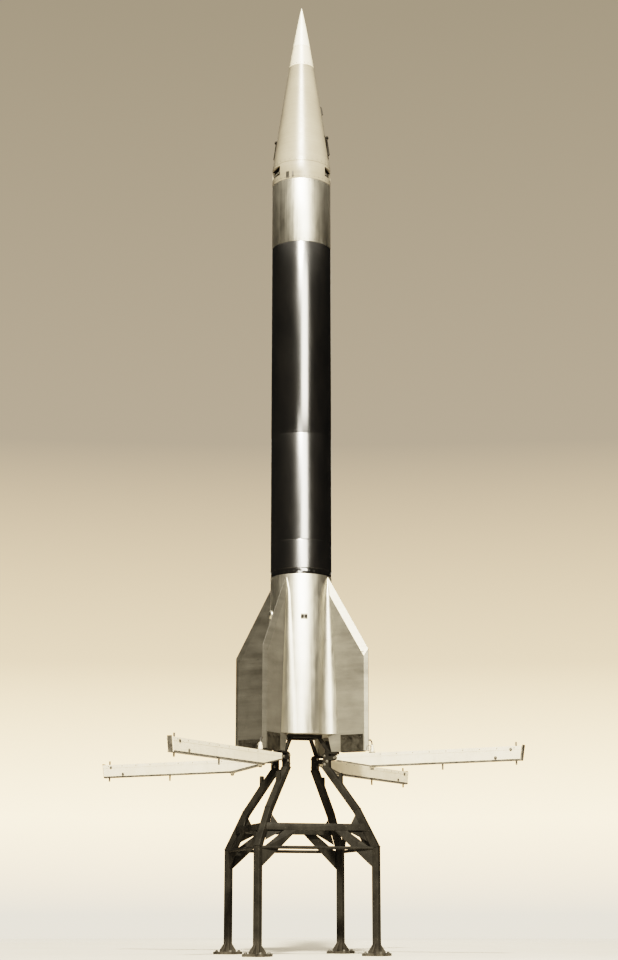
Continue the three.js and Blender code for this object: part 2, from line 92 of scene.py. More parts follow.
class ShaderSheet:
    """One material's node tree, with short calls for the nodes that the finishes share."""

    def __init__(self, name: str) -> None:
        """Starts a material with an empty principled surface.

        Args:
            name: The material's name.
        """
        self.material = bpy.data.materials.new(name)
        self.material.use_nodes = True
        self.tree = self.material.node_tree
        self.tree.nodes.clear()
        self.surface = self.tree.nodes.new("ShaderNodeBsdfPrincipled")
        output = self.tree.nodes.new("ShaderNodeOutputMaterial")
        self.tree.links.new(self.surface.outputs["BSDF"], output.inputs["Surface"])
        self.place = self.tree.nodes.new("ShaderNodeTexCoord").outputs["Object"]

    def feed(self, socket: bpy.types.NodeSocket, value: object) -> None:
        """Links a socket to another, or sets its value.

        Args:
            socket: The input that is fed.
            value: Another node's output, or a plain value.
        """
        if isinstance(value, bpy.types.NodeSocket):
            self.tree.links.new(value, socket)
        else:
            socket.default_value = value

    def set(self, **values: object) -> None:
        """Sets or links inputs of the principled surface.

        Args:
            **values: Values by the input's name, with spaces written as underscores.
        """
        for key, value in values.items():
            if isinstance(value, tuple) and len(value) == 3:
                value = (*value, 1.0)
            self.feed(self.surface.inputs[key.replace("_", " ")], value)

    def stretched(self, factors: Sequence[float]) -> bpy.types.NodeSocket:
        """The object's own coordinates, scaled along each axis.

        Args:
            factors: The scale along X, Y and Z.

        Returns:
            The scaled coordinates.
        """
        mapping = self.tree.nodes.new("ShaderNodeMapping")
        self.feed(mapping.inputs["Vector"], self.place)
        mapping.inputs["Scale"].default_value = tuple(factors)
        return mapping.outputs["Vector"]

    def noise(self, size: float, detail: float = 4.0, factors: Sequence[float] = (1.0, 1.0, 1.0),
              roughness: float = 0.55, distortion: float = 0.0) -> bpy.types.NodeSocket:
        """Noise of a real size.

        Args:
            size: The length of one blot in metres, before it is stretched.
            detail: The number of finer layers.
            factors: The stretch of the coordinates along each axis.
            roughness: The share of each finer layer.
            distortion: How far the blots are bent.

        Returns:
            The noise, from 0 to 1.
        """
        texture = self.tree.nodes.new("ShaderNodeTexNoise")
        self.feed(texture.inputs["Vector"], self.stretched(factors))
        texture.inputs["Scale"].default_value = 1.0 / size
        texture.inputs["Detail"].default_value = detail
        texture.inputs["Roughness"].default_value = roughness
        texture.inputs["Distortion"].default_value = distortion
        return texture.outputs[0]

    def remap(self, value: bpy.types.NodeSocket, low: float, high: float, start: float = 0.0,
              end: float = 1.0) -> bpy.types.NodeSocket:
        """Spreads a stretch of values over another, and holds it at the ends.

        Args:
            value: The value that is read.
            low: The value that gives start.
            high: The value that gives end.
            start: The lowest result.
            end: The highest result.

        Returns:
            The spread value.
        """
        spread = self.tree.nodes.new("ShaderNodeMapRange")
        self.feed(spread.inputs["Value"], value)
        limits = {"From Min": low, "From Max": high, "To Min": start, "To Max": end}
        for name, number in limits.items():
            spread.inputs[name].default_value = number
        return spread.outputs["Result"]

    def combine(self, operation: str, first: object, second: object) -> bpy.types.NodeSocket:
        """Joins two numbers by one operation.

        Args:
            operation: The name of the operation, such as MULTIPLY.
            first: The first number or output.
            second: The second number or output.

        Returns:
            The result, held between 0 and 1.
        """
        node = self.tree.nodes.new("ShaderNodeMath")
        node.operation = operation
        node.use_clamp = True
        self.feed(node.inputs[0], first)
        self.feed(node.inputs[1], second)
        return node.outputs[0]

    def blend(self, share: bpy.types.NodeSocket, first: object,
              second: object) -> bpy.types.NodeSocket:
        """Mixes two colours.

        Args:
            share: The share of the second colour.
            first: A colour or an output.
            second: A colour or an output.

        Returns:
            The mixed colour.
        """
        mix = self.tree.nodes.new("ShaderNodeMix")
        mix.data_type = "RGBA"
        self.feed(mix.inputs[0], share)
        for socket, value in ((mix.inputs[6], first), (mix.inputs[7], second)):
            self.feed(socket, (*value, 1.0) if isinstance(value, tuple) else value)
        return mix.outputs[2]

    def height(self) -> bpy.types.NodeSocket:
        """The height of the shaded point above the ground.

        Returns:
            The height in metres.
        """
        split = self.tree.nodes.new("ShaderNodeSeparateXYZ")
        self.feed(split.inputs[0], self.place)
        return split.outputs["Z"]

    def relief(self, *layers: tuple[bpy.types.NodeSocket, float, float]) -> None:
        """Adds bump layers to the surface, one on the other.

        Args:
            *layers: Each layer's height, its depth in metres and its strength.
        """
        normal = None
        for height, depth, strength in layers:
            bump = self.tree.nodes.new("ShaderNodeBump")
            bump.inputs["Strength"].default_value = strength
            bump.inputs["Distance"].default_value = depth
            self.feed(bump.inputs["Height"], height)
            if normal is not None:
                self.feed(bump.inputs["Normal"], normal)
            normal = bump.outputs["Normal"]
        self.feed(self.surface.inputs["Normal"], normal)


@dataclass(frozen=True)
class Finish:
    """A finish: the name of its material and the record's slot that it belongs to."""

    name: str
    slot: str

    def fill(self, sheet: ShaderSheet) -> None:
        """Builds the finish in an empty sheet; each kind of finish has its own."""
        raise NotImplementedError

    def material(self) -> bpy.types.Material:
        """The finish's material, built on first use.

        Returns:
            The material.
        """
        found = bpy.data.materials.get(self.name)
        if found is None:
            sheet = ShaderSheet(self.name)
            self.fill(sheet)
            found = sheet.material
        return found

    def dress_node(self, node: str, edge: float = 0.0) -> None:
        """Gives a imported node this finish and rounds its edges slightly.

        Args:
            node: The node's name.
            edge: The width of the rounding in metres, or 0 for none.
        """
        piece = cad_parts[node]
        if not piece.material_slots:
            piece.data.materials.append(None)
        for slot in piece.material_slots:
            slot.link = "OBJECT"
            slot.material = self.material()
        if edge > 0.0:
            weld = piece.modifiers.new("join", "WELD")
            weld.merge_threshold = 1e-5
            rounding = piece.modifiers.new("edges", "BEVEL")
            rounding.width = edge
            rounding.segments = 2
            rounding.limit_method = "ANGLE"
            rounding.angle_limit = math.radians(25.0)


@dataclass(frozen=True)
class BareMetal(Finish):
    """Bare rolled or turned light-metal sheet, with fine marks, blots and smears."""

    light: Colour = (0.60, 0.57, 0.495)
    dark: Colour = (0.44, 0.415, 0.355)
    sheen: Pair = (0.36, 0.46)
    grain: Grain = Grain.UPRIGHT
    blot_size: float = 0.22
    blot_shape: tuple[float, float, float] = (1.0, 1.0, 1.0)
    grain_depth: float = 0.0003
    waves: float = 0.05
    metallic: float = 1.0
    mark_tones: Pair = (-0.12, 0.38)
    sheet_joints: tuple[float, ...] = ()
    sheet_tones: tuple[float, ...] = ()

    def fill(self, sheet: ShaderSheet) -> None:
        """Builds the metal.

        Args:
            sheet: The empty sheet.
        """
        blots = sheet.noise(self.blot_size, 6.0, self.blot_shape, 0.6)
        marks = sheet.noise(1.0, 3.0, self.grain.value, 0.65)
        smears = sheet.noise(self.blot_size * 0.45, 4.0, (1.0, 1.0, 0.45), distortion=1.2)
        stains = sheet.noise(0.035, 5.0, roughness=0.7)
        share = sheet.combine("ADD", sheet.remap(blots, 0.33, 0.67, 0.0, 0.62),
                              sheet.remap(marks, 0.3, 0.7, *self.mark_tones))
        tint = sheet.blend(share, self.dark, self.light)
        spots = sheet.remap(stains, 0.66, 0.78, 0.0, 0.35)
        tint = sheet.blend(spots, tint, tuple(0.55 * part for part in self.dark))
        for joint, tone in zip(self.sheet_joints, self.sheet_tones):
            below = sheet.remap(sheet.height(), joint + 0.0015, joint - 0.0015, 0.0, tone)
            tint = sheet.blend(below, tint, self.light)
        rough = sheet.combine("ADD", sheet.remap(smears, 0.3, 0.7, *self.sheen),
                              sheet.remap(marks, 0.35, 0.65, -0.03, 0.04))
        sheet.set(Base_Color=tint, Metallic=self.metallic, Roughness=rough)
        swell = sheet.noise(0.30, 2.0, (1.0, 1.0, 0.6))
        sheet.relief((swell, 0.004, self.waves), (marks, self.grain_depth, 0.35))


@dataclass(frozen=True)
class FinMetal(BareMetal):
    """A fin's sheet, rolled level and lighter below its lower seam."""

    sheen: Pair = (0.34, 0.46)
    grain: Grain = Grain.LEVEL
    blot_shape: tuple[float, float, float] = (0.55, 0.55, 1.7)
    sheet_joints: tuple[float, ...] = (UPPER_FIN_SEAM, LOWER_FIN_SEAM)
    sheet_tones: tuple[float, ...] = (0.0, 0.22)


@dataclass(frozen=True)
class GlossEnamel(Finish):
    """Gloss paint on a welded tank, with faint orange peel, dust and slow waves of the sheet."""

    colour: Colour = (0.0022, 0.0020, 0.0017)
    dust: Colour = (0.011, 0.0098, 0.0082)
    sheen: Pair = (0.19, 0.24)
    strength: float = 2.4

    def fill(self, sheet: ShaderSheet) -> None:
        """Builds the paint.

        Args:
            sheet: The empty sheet.
        """
        dust = sheet.noise(0.12, 6.0, (1.0, 1.0, 0.35), 0.65)
        wiped = sheet.noise(0.35, 3.0, (1.0, 1.0, 0.5), distortion=0.8)
        peel = sheet.noise(0.006, 2.0)
        swell = sheet.noise(0.22, 2.0, (1.0, 1.0, 0.28))
        specks = sheet.noise(0.012, 3.0, roughness=0.8)
        tint = sheet.blend(sheet.remap(dust, 0.42, 0.75, 0.0, 0.5), self.colour, self.dust)
        tint = sheet.blend(sheet.remap(specks, 0.7, 0.8, 0.0, 0.5), tint, self.dust)
        sheet.set(Base_Color=tint, Roughness=sheet.remap(wiped, 0.3, 0.7, *self.sheen))
        sheet.set(IOR=self.strength)
        sheet.relief((swell, 0.006, 0.05), (peel, 0.0002, 0.12))


@dataclass(frozen=True)
class WornPaint(Finish):
    """Brushed-on satin paint that is scuffed, chipped and, near the ground, dusty."""

    colour: Colour = (0.011, 0.0101, 0.0083)
    faded: Colour = (0.022, 0.0204, 0.0168)
    chip: Colour = (0.06, 0.055, 0.046)
    dirt: Colour = (0.006, 0.0054, 0.0044)
    dust: Colour = (0.085, 0.075, 0.06)
    chipping: float = 0.64
    sheen: Pair = (0.42, 0.62)
    dust_height: float = 0.16
    strength: float = 1.5

    def fill(self, sheet: ShaderSheet) -> None:
        """Builds the paint.

        Args:
            sheet: The empty sheet.
        """
        fade = sheet.noise(0.16, 5.0, roughness=0.6)
        grime = sheet.noise(0.07, 6.0, (1.0, 1.0, 0.3), 0.7)
        chips = sheet.noise(0.022, 8.0, roughness=0.72, distortion=0.4)
        scratches = sheet.noise(0.05, 3.0, (9.0, 1.0, 9.0), 0.6, 0.8)
        brush = sheet.noise(0.003, 2.0, (1.0, 1.0, 0.12))
        tint = sheet.blend(sheet.remap(fade, 0.35, 0.65), self.colour, self.faded)
        tint = sheet.blend(sheet.remap(grime, 0.5, 0.78, 0.0, 0.7), tint, self.dirt)
        tint = sheet.blend(sheet.remap(scratches, 0.66, 0.72, 0.0, 0.5), tint, self.faded)
        worn = sheet.remap(chips, self.chipping, self.chipping + 0.025)
        tint = sheet.blend(worn, tint, self.chip)
        near_ground = sheet.remap(sheet.height(), self.dust_height, 0.0, 0.0, 1.0)
        settled = sheet.combine("MULTIPLY", near_ground, sheet.remap(grime, 0.35, 0.6, 0.1, 0.8))
        tint = sheet.blend(settled, tint, self.dust)
        sheet.set(Base_Color=tint, Roughness=sheet.remap(grime, 0.3, 0.7, *self.sheen))
        sheet.set(IOR=self.strength)
        lowered = sheet.remap(worn, 0.0, 1.0, 1.0, 0.0)
        sheet.relief((lowered, 0.0004, 0.5), (brush, 0.0004, 0.25))


@dataclass(frozen=True)
class DullSteel(Finish):
    """Dull dark steel with oil stains, a little rust and, on the engine, bands of heat tint."""

    light: Colour = (0.25, 0.235, 0.205)
    dark: Colour = (0.10, 0.092, 0.078)
    rust_tint: Colour = (0.13, 0.07, 0.04)
    heat_tint: Colour = (0.20, 0.12, 0.07)
    sheen: Pair = (0.38, 0.62)
    rust: float = 0.25
    heat: float = 0.0

    def fill(self, sheet: ShaderSheet) -> None:
        """Builds the steel.

        Args:
            sheet: The empty sheet.
        """
        blots = sheet.noise(0.05, 6.0, roughness=0.65)
        marks = sheet.noise(0.004, 3.0, (1.0, 1.0, 0.1), 0.6)
        spots = sheet.noise(0.015, 7.0, roughness=0.75)
        tint = sheet.blend(sheet.remap(blots, 0.35, 0.65), self.dark, self.light)
        tint = sheet.blend(sheet.remap(spots, 0.62, 0.74, 0.0, self.rust), tint, self.rust_tint)
        bands = sheet.noise(0.09, 3.0, (0.4, 0.4, 1.0), 0.5, 0.6)
        tint = sheet.blend(sheet.remap(bands, 0.45, 0.7, 0.0, self.heat), tint, self.heat_tint)
        sheet.set(Base_Color=tint, Metallic=0.85, Roughness=sheet.remap(blots, 0.3, 0.7, *self.sheen))
        sheet.relief((spots, 0.0005, 0.3), (marks, 0.0002, 0.3))


@dataclass(frozen=True)
class CableRubber(Finish):
    """Matt black rubber cable with dust in its surface."""

    colour: Colour = (0.02, 0.018, 0.016)
    dust: Colour = (0.09, 0.082, 0.07)

    def fill(self, sheet: ShaderSheet) -> None:
        """Builds the rubber.

        Args:
            sheet: The empty sheet.
        """
        dust = sheet.noise(0.02, 5.0, roughness=0.7)
        pores = sheet.noise(0.0015, 2.0)
        tint = sheet.blend(sheet.remap(dust, 0.45, 0.75, 0.0, 0.6), self.colour, self.dust)
        sheet.set(Base_Color=tint, Roughness=sheet.remap(dust, 0.3, 0.7, 0.55, 0.8))
        sheet.relief((pores, 0.0003, 0.3))


@dataclass(frozen=True)
class FinishBook:
    """Every finish of the rocket and its table."""

    body_sheet: Finish = BareMetal("body_sheet", "bare_metal")
    nose_sheet: Finish = BareMetal("nose_sheet", "bare_metal", light=(0.33, 0.290, 0.225),
                                   dark=(0.258, 0.226, 0.174), grain=Grain.ROUND,
                                   sheen=(0.33, 0.39), blot_size=0.3, metallic=0.12)
    front_cone_sheet: Finish = BareMetal("front_cone_sheet", "bare_metal",
                                         light=(0.78, 0.695, 0.55), dark=(0.69, 0.615, 0.485),
                                         grain=Grain.ROUND, sheen=(0.38, 0.46), blot_size=0.2,
                                         metallic=0.15)
    tip_metal: Finish = BareMetal("turned_tip", "tip_metal", light=(0.95, 0.88, 0.73),
                                  dark=(0.86, 0.795, 0.655), grain=Grain.ROUND,
                                  sheen=(0.40, 0.50), blot_size=0.1, metallic=0.2)
    # The near-white sheet below paints the highlight on the leading-edge bevels of the two right-hand
    # fins.
    painted_highlight_metal: Finish = BareMetal("painted_highlight_metal", "bare_metal", light=(0.92, 0.84, 0.69),
                                   dark=(0.82, 0.745, 0.61), grain=Grain.LEVEL,
                                   sheen=(0.34, 0.42), blot_size=0.1, metallic=0.3)
    fin_sheet: Finish = FinMetal("fin_sheet", "bare_metal", light=(0.265, 0.25, 0.212),
                                 dark=(0.130, 0.121, 0.101), blot_size=0.20, metallic=0.5,
                                 mark_tones=(0.02, 0.18))
    # The next two fin sheets are darkened copies of the fin sheet above: painted shade on the front-left
    # fin, which faces away from the light, and a painted shadow on the back-left fin.
    fin_sheet_painted_shadow: Finish = FinMetal("fin_sheet_painted_shadow", "bare_metal", light=(0.104, 0.098, 0.083),
                                      dark=(0.052, 0.0485, 0.0405), blot_size=0.18,
                                      metallic=0.45, mark_tones=(0.0, 0.20))
    fin_sheet_painted_shade: Finish = FinMetal("fin_sheet_painted_shade", "bare_metal", light=(0.130, 0.122, 0.104),
                                      dark=(0.060, 0.056, 0.047), blot_size=0.16,
                                      metallic=0.35, mark_tones=(0.0, 0.24), waves=0.06)
    matt_black: Finish = DullSteel("matt_black", "dark_steel", light=(0.032, 0.029, 0.024),
                                   dark=(0.014, 0.012, 0.010), rust=0.15)
    shoe_steel: Finish = DullSteel("shoe_steel", "dark_steel", light=(0.075, 0.070, 0.058),
                                   dark=(0.034, 0.031, 0.025), rust=0.15)
    fitting_steel: Finish = DullSteel("fitting_steel", "dark_steel")
    engine_steel: Finish = DullSteel("engine_steel", "dark_steel", light=(0.33, 0.30, 0.26),
                                     heat=0.7, rust=0.1)
    tank_enamel: Finish = GlossEnamel("tank_enamel", "black_paint")
    band_enamel: Finish = GlossEnamel("band_enamel", "black_paint", sheen=(0.14, 0.17))
    arm_paint: Finish = WornPaint("arm_paint", "light_paint", colour=(0.57, 0.500, 0.39),
                                  faded=(0.62, 0.55, 0.44), chip=(0.30, 0.28, 0.24),
                                  dirt=(0.45, 0.41, 0.33), chipping=0.70)
    table_paint: Finish = WornPaint("worn_table_paint", "table_paint", sheen=(0.56, 0.74),
                                    strength=1.2)
    cable_rubber: Finish = CableRubber("cable_rubber", "lead_rubber")


FINISH = FinishBook()


def about_axis(degrees: float) -> Matrix:
    """A turn about the rocket's axis."""
    return Matrix.Rotation(math.radians(degrees), 4, "Z")


def facing(place: Sequence[float], direction: Sequence[float]) -> Matrix:
    """The place and turn that point a shape's own +Z axis along a direction.

    Args:
        place: The shape's origin.
        direction: The direction of its +Z axis.

    Returns:
        The matrix.
    """
    turn = Vector(direction).to_track_quat("Z", "Y").to_matrix().to_4x4()
    return Matrix.Translation(Vector(place)) @ turn


def around(radius: float, degrees: float, z: float) -> Vector:
    """A point at a radius, a direction and a height."""
    angle = math.radians(degrees)
    return Vector((radius * math.cos(angle), radius * math.sin(angle), z))


def heights_of(node: str) -> Pair:
    """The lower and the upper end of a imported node."""
    low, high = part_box(node)
    return low.z, high.z


def new_object(name: str, data: bpy.types.ID) -> bpy.types.Object:
    """Puts an object with this data into the scene.

    Args:
        name: The object's name.
        data: Its mesh, light or camera.

    Returns:
        The object.
    """
    made = bpy.data.objects.new(name, data)
    bpy.context.scene.collection.objects.link(made)
    return made


class MeshDraft:
    """Points and faces of one piece, gathered from closed shapes."""

    def __init__(self) -> None:
        """Starts with no points and no faces."""
        self.points: list[Vector] = []
        self.faces: list[tuple[int, ...]] = []

    def add(self, points: Iterable[Sequence[float]], faces: Iterable[Sequence[int]],
            place: Matrix = Matrix.Identity(4)) -> "MeshDraft":
        """Adds a shape.

        Args:
            points: The shape's points.
            faces: The shape's faces, as indices of its own points.
            place: Where the shape goes.

        Returns:
            This draft.
        """
        start = len(self.points)
        self.points.extend(place @ Vector(point) for point in points)
        self.faces.extend(tuple(start + index for index in face) for face in faces)
        return self

    def turned(self, profile: Sequence[Pair], turns: int = FINE_TURNS,
               place: Matrix = Matrix.Identity(4)) -> "MeshDraft":
        """Adds a body turned about its own Z axis.

        Args:
            profile: Radius and height of each point, up the outside. It starts and ends on the axis,
                or ends where it starts.
            turns: The number of sides.
            place: Where the body goes.

        Returns:
            This draft.
        """
        closed = profile[0] == profile[-1] and profile[0][0] > 0.0
        rows = list(profile[:-1]) if closed else list(profile)
        points: list[Vector] = []
        rings: list[list[int]] = []
        for radius, z in rows:
            count = 1 if radius < 1e-6 else turns
            rings.append(list(range(len(points), len(points) + count)))
            points.extend(around(radius, 360.0 * side / turns, z) for side in range(count))
        faces: list[tuple[int, ...]] = []
        for low, high in zip(rings, rings[1:] + (rings[:1] if closed else [])):
            if len(low) == 1 and len(high) == 1:
                continue
            for side in range(turns):
                after = (side + 1) % turns
                if len(low) == 1:
                    faces.append((low[0], high[after], high[side]))
                elif len(high) == 1:
                    faces.append((low[side], low[after], high[0]))
                else:
                    faces.append((low[side], low[after], high[after], high[side]))
        return self.add(points, faces, place)

    def prism(self, outline: Sequence[Pair], low: float, high: float,
              place: Matrix = Matrix.Identity(4)) -> "MeshDraft":
        """Adds a plate with its outline in the X-Z plane and its thickness along Y.

        Args:
            outline: The corners as x and z.
            low: Its lower face's y.
            high: Its upper face's y.
            place: Where the plate goes.

        Returns:
            This draft.
        """
        count = len(outline)
        points = [(x, y, z) for y in (low, high) for x, z in outline]
        faces: list[tuple[int, ...]] = [tuple(range(count)), tuple(range(2 * count - 1, count - 1, -1))]
        for side in range(count):
            after = (side + 1) % count
            faces.append((side, side + count, after + count, after))
        return self.add(points, faces, place)

    def block(self, low: Sequence[float], high: Sequence[float],
              place: Matrix = Matrix.Identity(4)) -> "MeshDraft":
        """Adds a box between two corners."""
        outline = [(low[0], low[2]), (high[0], low[2]), (high[0], high[2]), (low[0], high[2])]
        return self.prism(outline, low[1], high[1], place)

    def tube(self, path: Sequence[Sequence[float]], radii: float | Sequence[float], sides: int = 16,
             loop: bool = False) -> "MeshDraft":
        """Adds a round bar along a path.

        Args:
            path: The points of the centre line.
            radii: The radius, or one radius for each point.
            sides: The number of sides.
            loop: Whether the last point joins the first.

        Returns:
            This draft.
        """
        line = [Vector(point) for point in path]
        count = len(line)
        sizes = [radii] * count if isinstance(radii, (int, float)) else list(radii)
        points: list[Vector] = []
        across = None
        for index, point in enumerate(line):
            before = line[index - 1] if index or loop else point
            after = line[(index + 1) % count] if index < count - 1 or loop else point
            ahead = (after - before).normalized()
            if across is None:
                across = ahead.orthogonal().normalized()
            across = (across - ahead * across.dot(ahead)).normalized()
            other = ahead.cross(across)
            for side in range(sides):
                angle = 2.0 * math.pi * side / sides
                points.append(point + (across * math.cos(angle) + other * math.sin(angle)) * sizes[index])
        faces: list[tuple[int, ...]] = []
        for index in range(count if loop else count - 1):
            here, there = index * sides, (index + 1) % count * sides
            for side in range(sides):
                after_side = (side + 1) % sides
                faces.append((here + side, here + after_side, there + after_side, there + side))
        if not loop:
            faces.append(tuple(range(sides - 1, -1, -1)))
            faces.append(tuple(range((count - 1) * sides, count * sides)))
        return self.add(points, faces)

    def rivet(self, place: Matrix, radius: float, height: float, sides: int = 10) -> "MeshDraft":
        """Adds a low domed head that sits on a surface.

        Args:
            place: The surface's place and direction.
            radius: The head's radius.
            height: How far it stands out.
            sides: The number of sides.

        Returns:
            This draft.
        """
        sunk = -0.0004
        profile = [(0.0, sunk), (radius, sunk), (radius, height * 0.35),
                   (radius * 0.72, height * 0.85), (0.0, height)]
        return self.turned(profile, sides, place)

    def bolt(self, place: Matrix, radius: float, height: float) -> "MeshDraft":
        """Adds a hexagon head on a washer.

        Args:
            place: The surface's place and direction.
            radius: The head's radius.
            height: How far it stands out.

        Returns:
            This draft.
        """
        wide, sunk, thick, seat = radius * 1.45, -0.0005, height * 0.3, height * 0.29
        washer = [(0.0, sunk), (wide, sunk), (wide, thick), (0.0, thick)]
        head = [(0.0, seat), (radius, seat), (radius, height * 0.9), (radius * 0.86, height),
                (0.0, height)]
        return self.turned(washer, 20, place).turned(head, 6, place)

    def bead(self, start: Sequence[float], end: Sequence[float], radius: float) -> "MeshDraft":
        """Adds a weld bead: a bar with the ripples of one run.

        Args:
            start: Where the run starts.
            end: Where it ends.
            radius: The bead's radius.

        Returns:
            This draft.
        """
        first, last = Vector(start), Vector(end)
        steps = max(6, int((last - first).length / (radius * 0.9)))
        path = [first.lerp(last, step / steps) for step in range(steps + 1)]
        radii = [radius * (0.82 + 0.18 * (step % 2)) for step in range(steps + 1)]
        radii[0] = radii[-1] = radius * 0.4
        return self.tube(path, radii, 6)

    def mesh(self, name: str) -> bpy.types.Mesh:
        """Makes a mesh of the shapes, with every face turned outwards.

        Args:
            name: The mesh's name.

        Returns:
            The mesh.
        """
        mesh = bpy.data.meshes.new(name)
        mesh.from_pydata(self.points, [], self.faces)
        work = bmesh.new()
        work.from_mesh(mesh)
        bmesh.ops.recalc_face_normals(work, faces=work.faces)
        work.to_mesh(mesh)
        work.free()
        return mesh

    def piece(self, name: str, finish: Finish, body: str = ROOT_BODY, sharp: float = 32.0,
              stands_for: Sequence[str] = ()) -> bpy.types.Object:
        """Makes the piece, dresses it and lets it ride on its body.

        Args:
            name: The piece's name.
            finish: Its finish.
            body: The body that it moves with.
            sharp: Edges that turn by more degrees than this stay sharp.
            stands_for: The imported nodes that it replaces.

        Returns:
            The piece.
        """
        mesh = self.mesh(name)
        mesh.shade_smooth()
        mesh.set_sharp_from_angle(angle=math.radians(sharp))
        made = new_object(name, mesh)
        mesh.materials.append(finish.material())
        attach(made, body)
        if stands_for:
            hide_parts(*stands_for)
        log.info("%s: %d faces", name, len(mesh.polygons))
        return made


def cut_pockets(body: bpy.types.Object, cutters: MeshDraft) -> None:
    """Cuts pockets into a piece.

    Args:
        body: The piece that is cut.
        cutters: Closed shapes that are taken away.
    """
    tool = new_object("cutter", cutters.mesh("cutter"))
    cut = body.modifiers.new("pockets", "BOOLEAN")
    cut.operation = "DIFFERENCE"
    cut.object = tool
    graph = bpy.context.evaluated_depsgraph_get()
    done = bpy.data.meshes.new_from_object(body.evaluated_get(graph))
    body.modifiers.remove(cut)
    whole = body.data
    body.data = done
    bpy.data.meshes.remove(whole)
    spent = tool.data
    bpy.data.objects.remove(tool)
    bpy.data.meshes.remove(spent)


